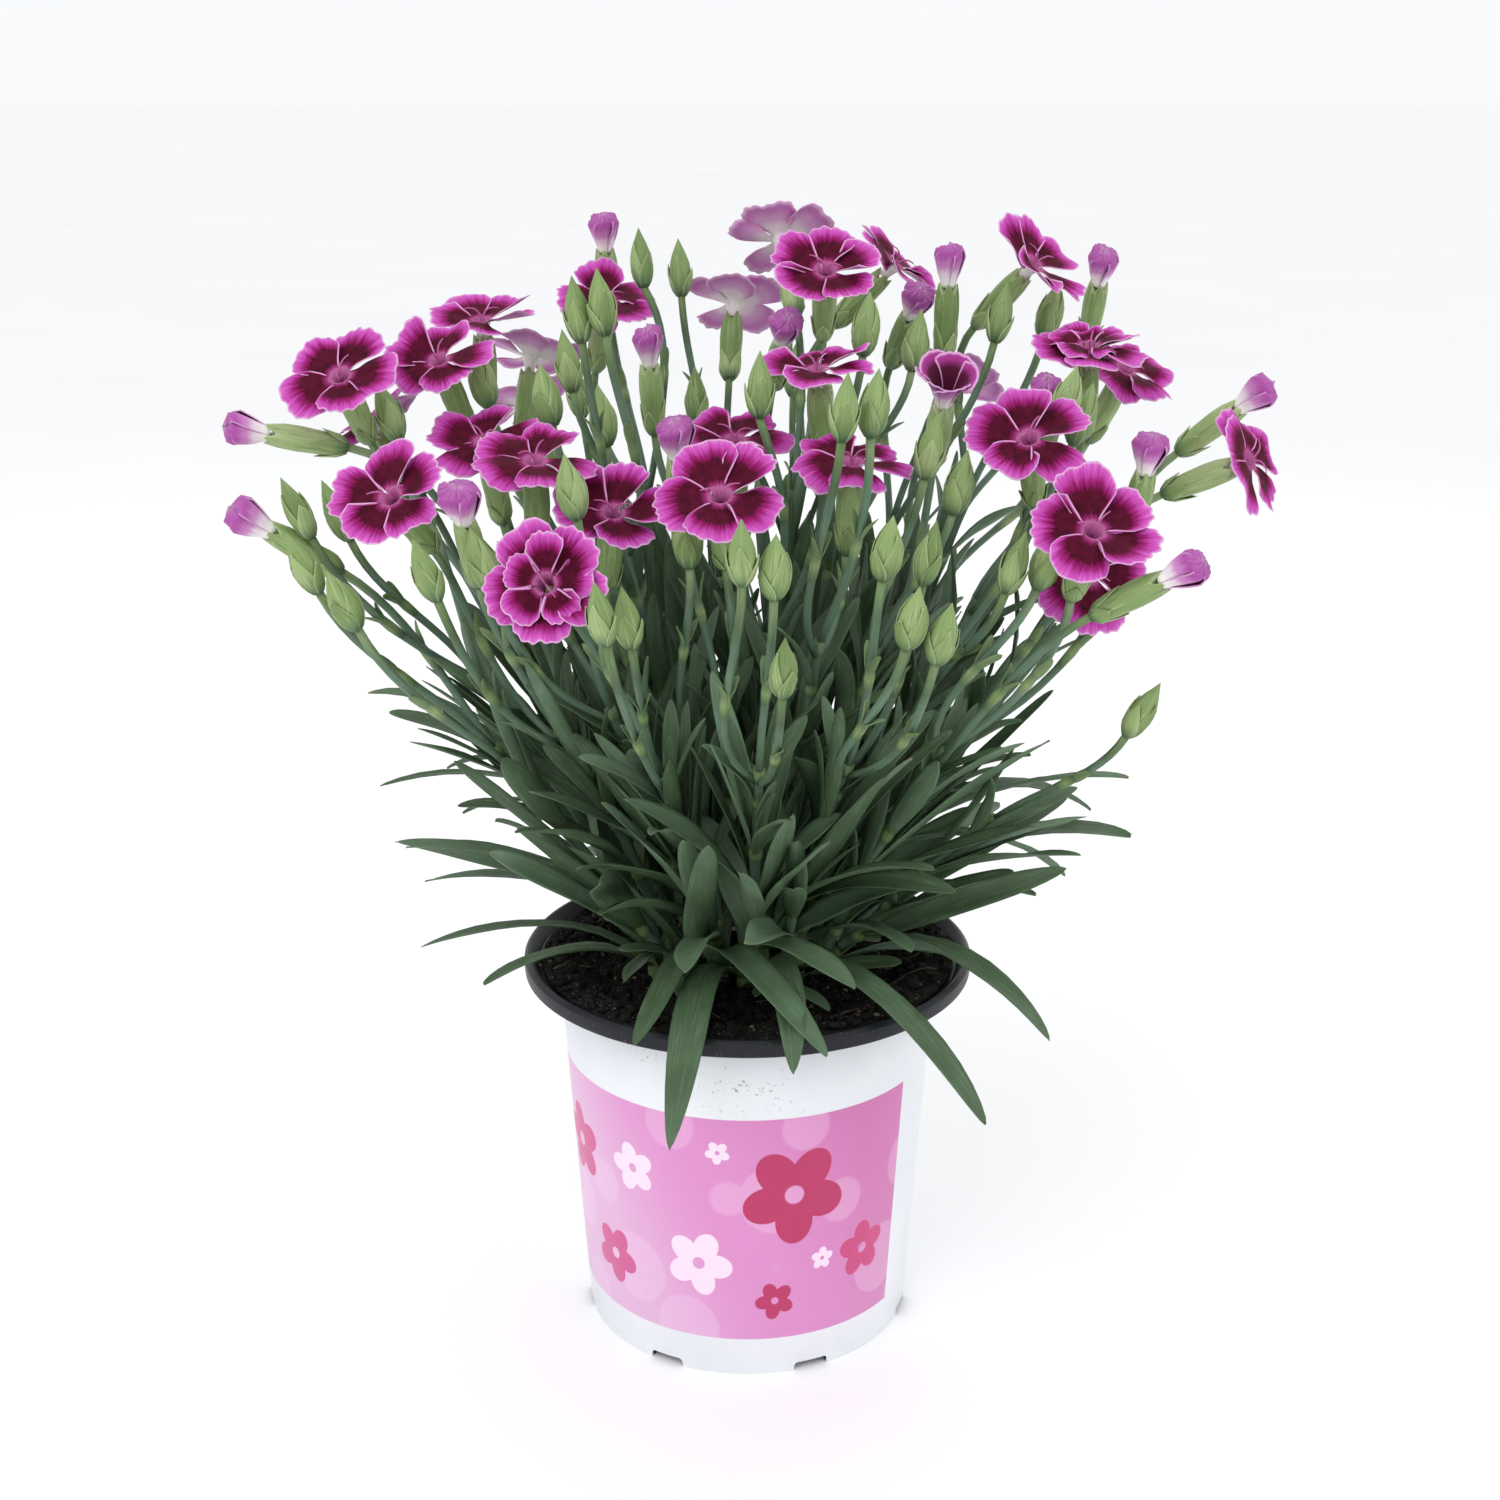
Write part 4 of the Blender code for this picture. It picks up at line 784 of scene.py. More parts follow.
def place_branches(plan, placed, draw):
    """Joins every head to its stem: one from its top, and the others from the sides below it."""
    for s, spray in enumerate(plan):
        for m, stem in enumerate(spray["stems"]):
            fork = stem_point(stem, 1.0)
            lead = stem_heading(stem, 1.0)

            def match(head):
                return (head_base(head) - fork).normalized().dot(lead)

            order = sorted(stem["heads"], key=match, reverse=True)
            for h, head in enumerate(order):
                base = head_base(head)
                foot = fork
                start = lead
                if h:
                    way = base - fork
                    sides = [side for side in range(4) if side not in stem["limbs"]]
                    side = max(sides, key=lambda k: stem_side(stem, 1.0, k).dot(way))
                    out = stem_side(stem, 1.0, side)
                    foot = stem_point(stem, 1.0) - lead * (NODE_HEIGHT * 1.5) + out * (STEM_RADIUS * SEAT)
                    start = (lead * 0.75 + out * 0.65).normalized()
                else:
                    side = "top"
                own = {("root", s), stem["key"], head["key"]}
                reach = (base - foot).length
                for attempt in range(STEM_DRAWS):
                    sway = min(0.3 * attempt, 0.2 * reach)
                    off = Vector([draw.uniform(-sway, sway) for _ in range(3)])
                    near = foot + start * (reach * 0.36) + off
                    far = base - head["axis"] * (reach * 0.34) + off * 0.6
                    curve = (foot, near, far, base)
                    path = [foot] + [bezier(curve, t) for t in STALK_STATIONS]
                    wide = BRANCH_RADIUS + CLEARANCE
                    beyond = path_shape(trimmed(path, 0.3), wide, 4)
                    whole = path_shape(trimmed(path, 0.03), wide, 4)
                    siblings = own | {("branch", s, m, k) for k in range(h)}
                    if placed.clear(beyond, own - {stem["key"]}) and placed.clear(whole, siblings):
                        break
                placed.add(("branch", s, m, h), path_shape(path, BRANCH_RADIUS, 4))
                stem["limbs"][side] = (curve, head)


def arched(base, along, out, length, first, last, width):
    """A leaf that leaves its stem at one angle and has turned to another at its tip."""
    middle_angle = math.radians((first + last) / 2)
    first, last = math.radians(first), math.radians(last)
    tip = base + (along * math.cos(middle_angle) + out * math.sin(middle_angle)) * length
    start = along * math.cos(first) + out * math.sin(first)
    end = along * math.cos(last) + out * math.sin(last)
    curve = (base, base + start * (length / 3), tip - end * (length / 3), tip)
    return {"curve": curve, "face": along, "width": width}


def keep_leaf(placed, leaf, own):
    """Whether a leaf is clear of all that stands, near its base of all but its own stem."""
    if not placed.clear(leaf_shape(leaf, 0.5, CLEARANCE)):
        return False
    if not placed.clear(leaf_shape(leaf, 0.02, CLEARANCE), own):
        return False
    placed.add(("leaf",), leaf_shape(leaf, 0.02))
    return True


def place_rim_leaves(plan, placed, draw):
    """The long leaves of the crown, each from the spray that stands nearest its tip."""
    for x, y, z, width in RIM_LEAVES:
        tip = Vector((x, y, z))
        level = Vector((x, y, 0.0)).normalized()

        def nearness(item):
            return (item["root"] - level * 26.0).length + 4.0 * len(item["sides"])

        kept = False
        for spray in sorted(plan, key=nearness)[:5]:
            own = {("root", plan.index(spray))}
            for attempt in range(LEAF_DRAWS):
                tier = attempt % (CROWN_LEVELS - 1)
                match, side, base, out = crown_side(spray, tier, level)
                if match < 0.2:
                    continue
                sway = 1.2 * attempt
                aside = level.cross(UP) * draw.uniform(-sway, sway)
                lift = UP * draw.uniform(0.0, sway)
                reach = (tip - base).length
                curve = (
                    base,
                    base + (out * 0.7 + UP * 0.6) * (reach * 0.36) + aside * 0.5 + lift,
                    tip - level * (reach * 0.35) + UP * max(6.0, RIM_CLEAR - z) + aside + lift,
                    tip,
                )
                leaf = {"curve": curve, "face": UP, "width": width}
                leaf["gap"] = crown_gap(spray, tier, side)
                kept = keep_leaf(placed, leaf, own)
                if kept:
                    spray["sides"][(tier, side)] = leaf
                    break
            if kept:
                break


def place_stem_leaves(plan, placed, draw):
    """Pairs up each stem, each pair square to the one below it, longest near the crown."""
    for k, (height, length, width, first, last) in enumerate(PAIRS):
        for s, spray in enumerate(plan):
            for m, stem in enumerate(spray["stems"]):
                own = {("root", s), stem["key"]}
                point = stem_point(stem, height)
                along = stem_heading(stem, height)
                for side in (k % 2, k % 2 + 2):
                    out = stem_side(stem, height, side)
                    aside = along.cross(out)
                    base = point + out * (STEM_RADIUS * SEAT)
                    low, high, _ = stem_stations(stem)[k]
                    gap = stem_gap(stem, low, high, side)
                    for attempt in range(LEAF_DRAWS):
                        swing = math.radians(draw.uniform(-1, 1) * min(8 + 4.0 * attempt, 50))
                        way = out * math.cos(swing) + aside * math.sin(swing)
                        size = length * draw.uniform(0.85, 1.12) * (1.0 - 0.035 * attempt)
                        leaf = arched(
                            base,
                            along,
                            way,
                            size,
                            first * draw.uniform(0.85, 1.3),
                            last * draw.uniform(0.75, 1.3),
                            width * draw.uniform(0.9, 1.1),
                        )
                        leaf["gap"] = gap
                        if keep_leaf(placed, leaf, own):
                            stem["leaves"][(k, side)] = leaf
                            break


def plan_plant():
    """Where every head, stem, stalk and leaf lies, and the shapes that stand already."""
    draw = random.Random(LAYOUT_SEED)
    placed = Placed()
    placed.add(("pot",), turned_shape(pot_profile()))
    placed.add(("skin",), turned_shape(skin_profile()))
    placed.add(("soil",), soil_shape())
    sprays = place_heads(placed)
    plan = place_stems(sprays, placed, draw)
    place_branches(plan, placed, draw)
    place_rim_leaves(plan, placed, draw)
    place_stem_leaves(plan, placed, draw)
    return plan, placed


def crown_fill_leaf(spray, draw, lean, rise, first, turn, length, width, limit):
    """A leaf from the crown of a spray, or none where it would lie on the soil or the rim."""
    out = facing_level(draw.uniform(0.0, math.tau))
    if spray["root"].length > 1.0:
        out = (out + spray["root"].normalized() * lean).normalized()
    base = spray["root"] + out * (ROOT_RADIUS * SEAT) + UP * (CROWN_BASE + draw.uniform(*rise))
    first = draw.uniform(*first)
    last = first + draw.uniform(*turn)
    leaf = arched(base, UP, out, draw.uniform(*length), first, last, draw.uniform(*width))
    leaf["gap"] = ring(base, out, FILL_FEET[0], 4)
    tip = leaf["curve"][3]
    radius, height, over_soil = limit
    if tip.xy.length > radius and tip.z < height:
        return None
    return leaf if tip.z > soil_height(tip.x, tip.y) + over_soil else None


def stem_fill_leaf(stem, draw, low, high, length, width):
    """A steep leaf that leaves a stem anywhere between two heights."""
    height = draw.uniform(low, high)
    along = stem_heading(stem, height)
    out = stem_side(stem, height, 0)
    turn = draw.uniform(0.0, math.tau)
    way = out * math.cos(turn) + along.cross(out) * math.sin(turn)
    base = stem_point(stem, height) + way * (STEM_RADIUS * SEAT)
    first = draw.uniform(4.0, 16.0)
    last = first + draw.uniform(-2.0, 16.0)
    length *= draw.uniform(0.7, 1.1)
    leaf = arched(base, along, way, length, first, last, width * draw.uniform(0.8, 1.15))
    leaf["gap"] = ring(base, way, FILL_FEET[1], 4)
    return leaf


def fill_leaf(placed, fill, tries, make):
    """Makes an extra leaf again until it is clear of all that stands, and keeps it."""
    for attempt in range(tries):
        leaf = make()
        if leaf and placed.clear(leaf_shape(leaf, 0.35, FILL_CLEARANCE)):
            placed.add(("leaf",), leaf_shape(leaf, 0.1))
            fill.append(leaf)
            return


def place_fill_leaves(plan, placed, draw):
    """More leaves than the solids hold: from the crown of each spray, and steep ones up its stems."""
    for spray in plan:
        spray["fill"] = []
        for count, tries, *ranges in CROWN_FILL:
            for i in range(count):
                fill_leaf(placed, spray["fill"], tries, partial(crown_fill_leaf, spray, draw, *ranges))
        for stem in spray["stems"]:
            for *ranges, count in STEM_FILL:
                for i in range(count):
                    make = partial(stem_fill_leaf, stem, draw, *ranges)
                    fill_leaf(placed, spray["fill"], STEM_FILL_TRIES, make)


def linear(colour):
    """A hex colour in linear light, with full alpha."""
    channels = [int(colour[i : i + 2], 16) / 255 for i in (1, 3, 5)]
    return (*[c / 12.92 if c <= 0.04045 else ((c + 0.055) / 1.055) ** 2.4 for c in channels], 1.0)


def per_metre(size):
    """How many patches of a size in millimetres go into a metre, which is the scale of a noise."""
    return 1.0 / (size * MM)


def add_node(material, kind, *feeds, out=0, stops=(), **settings):
    """Adds a shader node with its settings, feeds its inputs in turn and gives back an output.

    A feed is a number, a hex colour or another node's output, and None leaves an input as it is.
    The stops of a ramp are places from 0 to 1 with their colours.
    """
    tree = material.node_tree
    node = tree.nodes.new("ShaderNode" + kind)
    for name, value in settings.items():
        setattr(node, name, value)
    for socket, feed in zip([socket for socket in node.inputs if socket.enabled], feeds):
        if hasattr(feed, "links"):
            tree.links.new(feed, socket)
        elif feed is not None:
            socket.default_value = linear(feed) if isinstance(feed, str) else feed
    if stops:
        node.color_ramp.interpolation = "EASE"
        for extra_stop in stops[2:]:
            node.color_ramp.elements.new(0.5)
        for element, (place, colour) in zip(node.color_ramp.elements, stops):
            element.position = place
            element.color = linear(colour)
    return [socket for socket in node.outputs if socket.enabled][out]


def new_material(name, roughness, specular):
    """A material, and the function that adds a node to it."""
    material = bpy.data.materials.new(name)
    material.use_nodes = True
    shader = material.node_tree.nodes["Principled BSDF"]
    shader.inputs["Roughness"].default_value = roughness
    shader.inputs["Specular IOR Level"].default_value = specular
    return material, partial(add_node, material)


def feed_shader(material, **feeds):
    """Feeds the shader of a material from its nodes. A space in an input's name is an underscore here."""
    shader = material.node_tree.nodes["Principled BSDF"]
    for name, feed in feeds.items():
        material.node_tree.links.new(feed, shader.inputs[name.replace("_", " ")])
    return material


def three_of(node, name):
    """The three numbers that a piece's attribute holds at each point."""
    return node("SeparateXYZ", node("Attribute", attribute_name=name, out=1)).node.outputs


def streaked(node, *stretched):
    """Coordinates for streaks: three numbers, each with its own scale."""
    return node("CombineXYZ", *[node("Math", value, scale, **PRODUCT) for value, scale in stretched])


def layered(node, colour, *coats):
    """Lays coats over a colour. A coat: a value, where it starts and is full, its cover and its colour."""
    for value, start, full, cover, coat in coats:
        mask = node("MapRange", value, start, full, 0.0, cover, **EASED)
        colour = node("Mix", mask, colour, coat, **COLOURS)
    return colour


def leaf_material():
    """Waxy living leaf: grey-green and finely lined, with yellow-green joints, calyces and buds."""
    material, node = new_material("waxy_living_leaf", 0.5, 0.3)
    ripe, along, luck = three_of(node, "growth")
    across, length, rim = three_of(node, "grain")
    place = node("TexCoord", out=3)
    blotch = node("TexNoise", place, per_metre(16.67), *SOFT)
    fine = node("TexNoise", place, per_metre(0.909), 2.0, 0.55)
    # Lines about 0.6 mm apart and 11 mm long
    streak = node("TexNoise", streaked(node, (across, 1.7), (length, 0.09), (luck, 60.0)), 1.0, 3.0, 0.6)
    shade = node("Math", blotch, 0.6, node("Math", luck, 0.45, **PRODUCT), **PRODUCT_AND_SUM)
    stops = ((0.15, "#384a33"), (0.42, "#4b6245"), (0.66, "#5c7558"), (0.92, "#7a9580"))
    blade = layered(
        node,
        node("ValToRGB", shade, stops=stops),
        (along, 0.14, 0.0, 1.0, "#86a05e"),
        (ripe, 0.0, -0.5, 0.6, "#627f6e"),
        (streak, 0.5, 0.68, 0.14, "#a5bda0"),
    )
    green = layered(
        node,
        node("ValToRGB", shade, stops=((0.15, "#667e48"), (0.5, "#839c60"), (0.88, "#a6bb80"))),
        (along, 0.46, 0.05, 1.0, "#4b6b4c"),
        (streak, 0.52, 0.7, 0.4, "#c0cd9c"),
        (streak, 0.46, 0.32, 0.45, "#4f6a45"),
    )
    rusty_spots = node("MapRange", blotch, 0.56, 0.7, 0.0, 0.35, **EASED)
    rusty_ones = node("MapRange", luck, 0.55, 0.9, **EASED)
    green = node("Mix", node("Math", rusty_spots, rusty_ones, **PRODUCT), green, "#7a5a48", **COLOURS)
    colour = layered(
        node,
        node("Mix", ripe, blade, green, **COLOURS),
        (rim, -0.78, -1.0, 0.45, "#ccd7ab"),
        (rim, 0.0, 1.0, 0.8, "#94794c"),
    )
    lines = node("Math", fine, 0.3, streak, **PRODUCT_AND_SUM)
    waxy = node("MapRange", fine, 0.0, 1.0, 0.4, 0.58)
    bump = node("Bump", 0.35, 0.4 * MM, None, lines)
    return feed_shader(material, Base_Color=colour, Roughness=waxy, Normal=bump)


def petal_material():
    """Velvety petal: burgundy heart, magenta band with feathered streaks, pale edge and pale back."""
    material, node = new_material("velvet_petal", 0.7, 0.1)
    reach, rim, side = three_of(node, "growth")
    across, back, luck = three_of(node, "grain")
    fan = streaked(node, (across, 10.0), (reach, 1.1), (luck, 40.0))
    streaks = node("TexNoise", fan, 1.6, 3.0, 0.6)
    feather = node("Math", streaks, 5.0, -2.5, **PRODUCT_AND_SUM)
    band = node("Math", rim, feather, operation="ADD")
    edge = node("Math", feather, 0.1, node("Math", rim, side, operation="MINIMUM"), **PRODUCT_AND_SUM)
    eye = node("Math", feather, -0.05, reach, **PRODUCT_AND_SUM)
    mottle = node("TexNoise", node("TexCoord", out=3), per_metre(2.0), *SOFT)
    face = layered(
        node,
        node("ValToRGB", mottle, stops=((0.2, "#3d051a"), (0.8, "#5c0a2c"))),
        (band, 5.2, 3.8, 1.0, "#8c1560"),
        (band, 3.9, 1.4, 1.0, "#c04aab"),
        (band, 1.6, 0.0, 1.0, "#cf6cc0"),
        (side, 0.9, 0.4, 1.0, "#a8397f"),
        (edge, 0.62, 0.12, 1.0, "#e3aedb"),
        (eye, 0.2, 0.1, 1.0, "#8a2360"),
        (eye, 0.1, 0.02, 1.0, "#b9679b"),
    )
    stops = ((0.0, "#f6f4f0"), (0.25, "#f0e2ea"), (0.55, "#dba6d2"), (0.85, "#c97cbf"), (1.0, "#e6bfe0"))
    under = node("ValToRGB", reach, stops=stops)
    under = node("Mix", node("Math", streaks, 0.3, **PRODUCT), under, "#a6509b", **COLOURS)
    colour = node("Mix", back, face, under, **COLOURS)
    veins = node("Math", node("TexNoise", fan, 9.0, 2.0, 0.55), 0.4, streaks, **PRODUCT_AND_SUM)
    return feed_shader(material, Base_Color=colour, Normal=node("Bump", 0.3, 0.3 * MM, None, veins))


def rolled_petal_material():
    """Backs of petals still rolled up: white at the claw, lilac-pink above, magenta where the tips turn."""
    material, node = new_material("rolled_petal", 0.62, 0.15)
    material.node_tree.nodes["Principled BSDF"].inputs["Sheen Weight"].default_value = 0.08
    reach, rim, side = three_of(node, "growth")
    across, back, luck = three_of(node, "grain")
    streaks = node("TexNoise", streaked(node, (across, 8.0), (reach, 1.0), (luck, 30.0)), 1.8, *SOFT)
    lower = node("Math", reach, 0.175, operation="SUBTRACT")
    uneven = node("Math", streaks, 0.35, lower, **PRODUCT_AND_SUM)
    edge = node("Math", side, rim, operation="MINIMUM")
    stops = ((0.08, "#f1f0e8"), (0.3, "#ecdde7"), (0.54, "#c983c0"), (0.8, "#a64d9d"), (1.0, "#b567ac"))
    outer = layered(node, node("ValToRGB", uneven, stops=stops), (edge, 0.5, 0.1, 1.0, "#cd96c6"))
    inner = layered(node, "#560d31", (rim, 3.0, 1.0, 1.0, "#a03388"), (edge, 0.6, 0.15, 1.0, "#dba7d3"))
    colour = node("Mix", back, inner, outer, **COLOURS)
    return feed_shader(material, Base_Color=colour, Normal=node("Bump", 0.25, 0.3 * MM, None, streaks))


def pot_material():
    """Moulded black polypropylene: satin, a little scuffed, with dust in its fine grain."""
    material, node = new_material("moulded_black_polypropylene", 0.42, 0.28)
    place = node("TexCoord", out=3)
    scuff = node("TexNoise", place, per_metre(16.67), 6.0, 0.65)
    dust = node("TexNoise", place, per_metre(0.714), 2.0, 0.55)
    colour = node("ValToRGB", scuff, stops=((0.3, "#131519"), (0.55, "#1a1d22"), (0.8, "#272b31")))
    colour = layered(node, colour, (dust, 0.66, 0.74, 1.0, "#5a5650"))
    satin = node("MapRange", scuff, 0.0, 1.0, 0.32, 0.55)
    bump = node("Bump", 0.08, 0.2 * MM, None, dust)
    return feed_shader(material, Base_Color=colour, Roughness=satin, Normal=bump)


def printed_blossom(node, across, up, centre, radius, turn):
    """A flat printed blossom of five round petals with an open eye: 1 inside it and 0 outside."""
    x, y = (node("Math", way, spot, operation="SUBTRACT") for way, spot in zip((across, up), centre))
    reach = node("VectorMath", node("CombineXYZ", x, y), operation="LENGTH")
    angle = node("Math", node("Math", y, x, operation="ARCTAN2"), turn, operation="ADD")
    wave = node("Math", node("Math", angle, PETALS / 2, **PRODUCT), operation="COSINE")
    lobe = node("Math", wave, operation="ABSOLUTE")
    outline = node("Math", lobe, (1.0 - VALLEY) * radius, VALLEY * radius, **PRODUCT_AND_SUM)
    inside = node("MapRange", node("Math", outline, reach, operation="SUBTRACT"), 0.0, 0.35, **EASED)
    eye = node("MapRange", reach, 0.16 * radius, 0.2 * radius, **EASED)
    return node("Math", inside, eye, **PRODUCT)


def printed_wall_material():
    """White printed polypropylene: smooth, dusty, with a pink panel of plain blossoms and soft discs."""
    material, node = new_material("printed_white_polypropylene", 0.34, 0.45)
    place = node("TexCoord", out=3)
    x, y, z = node("SeparateXYZ", place).node.outputs
    up = node("Math", z, 1.0 / MM, **PRODUCT)
    azimuth = node("Math", x, node("Math", y, -1.0, **PRODUCT), operation="ARCTAN2")
    across = node("Math", azimuth, WALL_TOP_RADIUS, **PRODUCT)

    # Dust from the soil, in patches under the rim and most of it at the front
    from_front = node("Math", node("Math", across, 8.0, operation="SUBTRACT"), operation="ABSOLUTE")
    more = node("MapRange", from_front, 34.0, 4.0, 0.0, 0.16, **EASED)
    patch = node("Math", node("TexNoise", place, per_metre(18.18), 2.0, 0.55), 0.9, more, **PRODUCT_AND_SUM)
    dust = node("MapRange", up, 74.0, 92.0, 0.0, 0.75, **EASED)
    specks = node("TexNoise", place, per_metre(1.176), 3.0, 0.65)
    for value, start, full in ((specks, 0.62, 0.66), (patch, 0.5, 0.6)):
        dust = node("Math", dust, node("MapRange", value, start, full, **EASED), **PRODUCT)

    # The printed panel, with a slight slope of colour over it
    left, right = (math.radians(angle) * WALL_TOP_RADIUS for angle in PANEL_SIDES)
    panel = 1.0
    borders = ((across, left, 1), (across, right, -1), (up, PANEL_FOOT, 1), (up, PANEL_TOP, -1))
    for way, start, inwards in borders:
        side = node("MapRange", way, start, start + PRINT_SOFT * inwards, **EASED)
        panel = node("Math", side, panel, **PRODUCT)
    slope = node("Math", up, 0.004, node("Math", across, 0.008, 0.35, **PRODUCT_AND_SUM), **PRODUCT_AND_SUM)
    pink = node("ValToRGB", slope, stops=((0.1, "#e0b2d6"), (0.5, "#d98cc4"), (0.95, "#cd74ae")))
    flat = node("CombineXYZ", across, up)
    discs = node("TexVoronoi", flat, 1.0 / DISC_SPACING, None, None, None, 0.9)
    pink = layered(node, pink, (discs, 0.46, 0.43, 0.22, "#f4d3ee"))
    for centre, radius, turn, ink in PRINTED_BLOSSOMS:
        pink = node("Mix", printed_blossom(node, across, up, centre, radius, turn), pink, ink, **COLOURS)

    white = node("TexNoise", place, per_metre(40.0), *SOFT)
    white = node("ValToRGB", white, stops=((0.3, "#e2e5ea"), (0.7, "#eaecf0")))
    colour = node("Mix", panel, white, pink, **COLOURS)
    colour = node("Mix", dust, colour, "#4c4238", **COLOURS)
    bump = node("Bump", 0.04, 0.3 * MM, None, node("TexNoise", place, per_metre(6.25), *SOFT))
    return feed_shader(material, Base_Color=colour, Normal=bump)


def peat_material():
    """Milled peat: near black and rough, with brown crumbs and pale grains."""
    material, node = new_material("milled_peat", 0.95, 0.12)
    place = node("TexCoord", out=3)
    crumb = node("TexNoise", place, per_metre(3.03), 6.0, 0.7)
    grain = node("TexNoise", place, per_metre(0.769), 3.0, 0.7)
    stops = ((0.3, "#161514"), (0.52, "#242221"), (0.7, "#383431"), (0.88, "#5a544e"))
    colour = layered(node, node("ValToRGB", crumb, stops=stops), (grain, 0.63, 0.7, 1.0, "#8d877f"))
    rough = node("Math", grain, 0.5, crumb, **PRODUCT_AND_SUM)
    return feed_shader(material, Base_Color=colour, Normal=node("Bump", 0.9, 1.2 * MM, None, rough))


def fibre_material():
    """Dry roots and straw in the peat, pale and matt."""
    material, node = new_material("dry_root_fibre", 0.85, 0.2)
    place = node("TexCoord", out=3)
    tone = node("TexNoise", place, per_metre(3.33), *SOFT)
    colour = node("ValToRGB", tone, stops=((0.25, "#4a4136"), (0.55, "#6f6453"), (0.85, "#a39a86")))
    bump = node("Bump", 0.3, 0.2 * MM, None, node("TexNoise", place, per_metre(0.4), *SOFT))
    return feed_shader(material, Base_Color=colour, Normal=bump)


def floor_material():
    """Pale matt studio floor."""
    material, node = new_material("pale_studio_floor", 0.75, 0.2)
    tone = node("TexNoise", node("TexCoord", out=3), per_metre(333.0), *SOFT)
    colour = node("ValToRGB", tone, stops=((0.2, "#fbfbfb"), (0.8, "#fefefe")))
    return feed_shader(material, Base_Color=colour)


def deselect():
    """Leaves nothing selected, so that an operator acts only on what is new."""
    for obj in bpy.context.selected_objects:
        obj.select_set(False)


def form_of(obj):
    """The points and faces of an object, which is then removed."""
    mesh = obj.data
    points = np.array([vertex.co for vertex in mesh.vertices])
    faces = [tuple(polygon.vertices) for polygon in mesh.polygons]
    bpy.data.objects.remove(obj)
    bpy.data.meshes.remove(mesh)
    return points, faces


def blade_form(across, along):
    """A thin closed blade: -1 to 1 across, 0 to 1 along, and half a unit to each face."""
    deselect()
    bpy.ops.mesh.primitive_grid_add(x_subdivisions=across, y_subdivisions=along, size=2.0)
    blade = bpy.context.active_object
    bpy.ops.object.mode_set(mode="EDIT")
    bpy.ops.transform.resize(value=(1.0, 0.5, 1.0))
    bpy.ops.transform.translate(value=(0.0, 0.5, 0.0))
    bpy.ops.object.mode_set(mode="OBJECT")
    walls = blade.modifiers.new("Thickness", "SOLIDIFY")
    walls.thickness = 1.0
    walls.offset = 0.0
    bpy.ops.object.modifier_apply(modifier=walls.name)
    return form_of(blade)


def pick_edges(obj, wanted):
    """Selects the edges whose two ends fit a rule, in edit mode."""
    bpy.ops.mesh.select_all(action="DESELECT")
    shaper = bmesh.from_edit_mesh(obj.data)
    for edge in shaper.edges:
        edge.select_set(wanted(*[vertex.co.z for vertex in edge.verts]))
    bmesh.update_edit_mesh(obj.data)


def cut_tube(sides, rings, ends):
    """A tube of radius 1 and height 1, cut into rings and left in edit mode."""
    deselect()
    size = {"radius": 1.0, "depth": 1.0, "location": (0.0, 0.0, 0.5)}
    bpy.ops.mesh.primitive_cylinder_add(vertices=sides, end_fill_type=ends, **size)
    bpy.ops.object.transform_apply(location=True)
    tube = bpy.context.active_object
    bpy.ops.object.mode_set(mode="EDIT")
    bpy.ops.mesh.select_mode(type="EDGE")
    pick_edges(tube, lambda low, high: abs(low - high) > 0.5)
    bpy.ops.mesh.subdivide(number_cuts=rings - 1)
    return tube


def finished_form(obj):
    """Leaves edit mode and gives back the form."""
    bpy.ops.mesh.select_mode(type="VERT")
    bpy.ops.object.mode_set(mode="OBJECT")
    return form_of(obj)


def tube_form(sides, rings):
    """A closed tube of radius 1 and height 1."""
    return finished_form(cut_tube(sides, rings, "TRIFAN"))


def soil_form():
    """A cylinder with a finely divided top: radius 1, underside at 0, top at 1, and two rings between."""
    disc = cut_tube(FINE_SOIL_SIDES, 3, "NOTHING")
    for level, rings in ((1.0, FINE_SOIL_RINGS), (0.0, 1)):
        pick_edges(disc, lambda low, high: abs(low - level) < 1e-4 and abs(high - level) < 1e-4)
        for left in range(rings, 1, -1):
            smaller = (left - 1) / left
            bpy.ops.mesh.extrude_edges_move()
            bpy.ops.transform.resize(value=(smaller, smaller, 1.0), center_override=(0.0, 0.0, level))
        bpy.ops.mesh.edge_face_add()
    bpy.ops.mesh.select_all(action="SELECT")
    bpy.ops.mesh.normals_make_consistent(inside=False)
    return finished_form(disc)


def crumb_form():
    """A small lump of peat."""
    deselect()
    bpy.ops.mesh.primitive_ico_sphere_add(subdivisions=1, radius=1.0)
    return form_of(bpy.context.active_object)


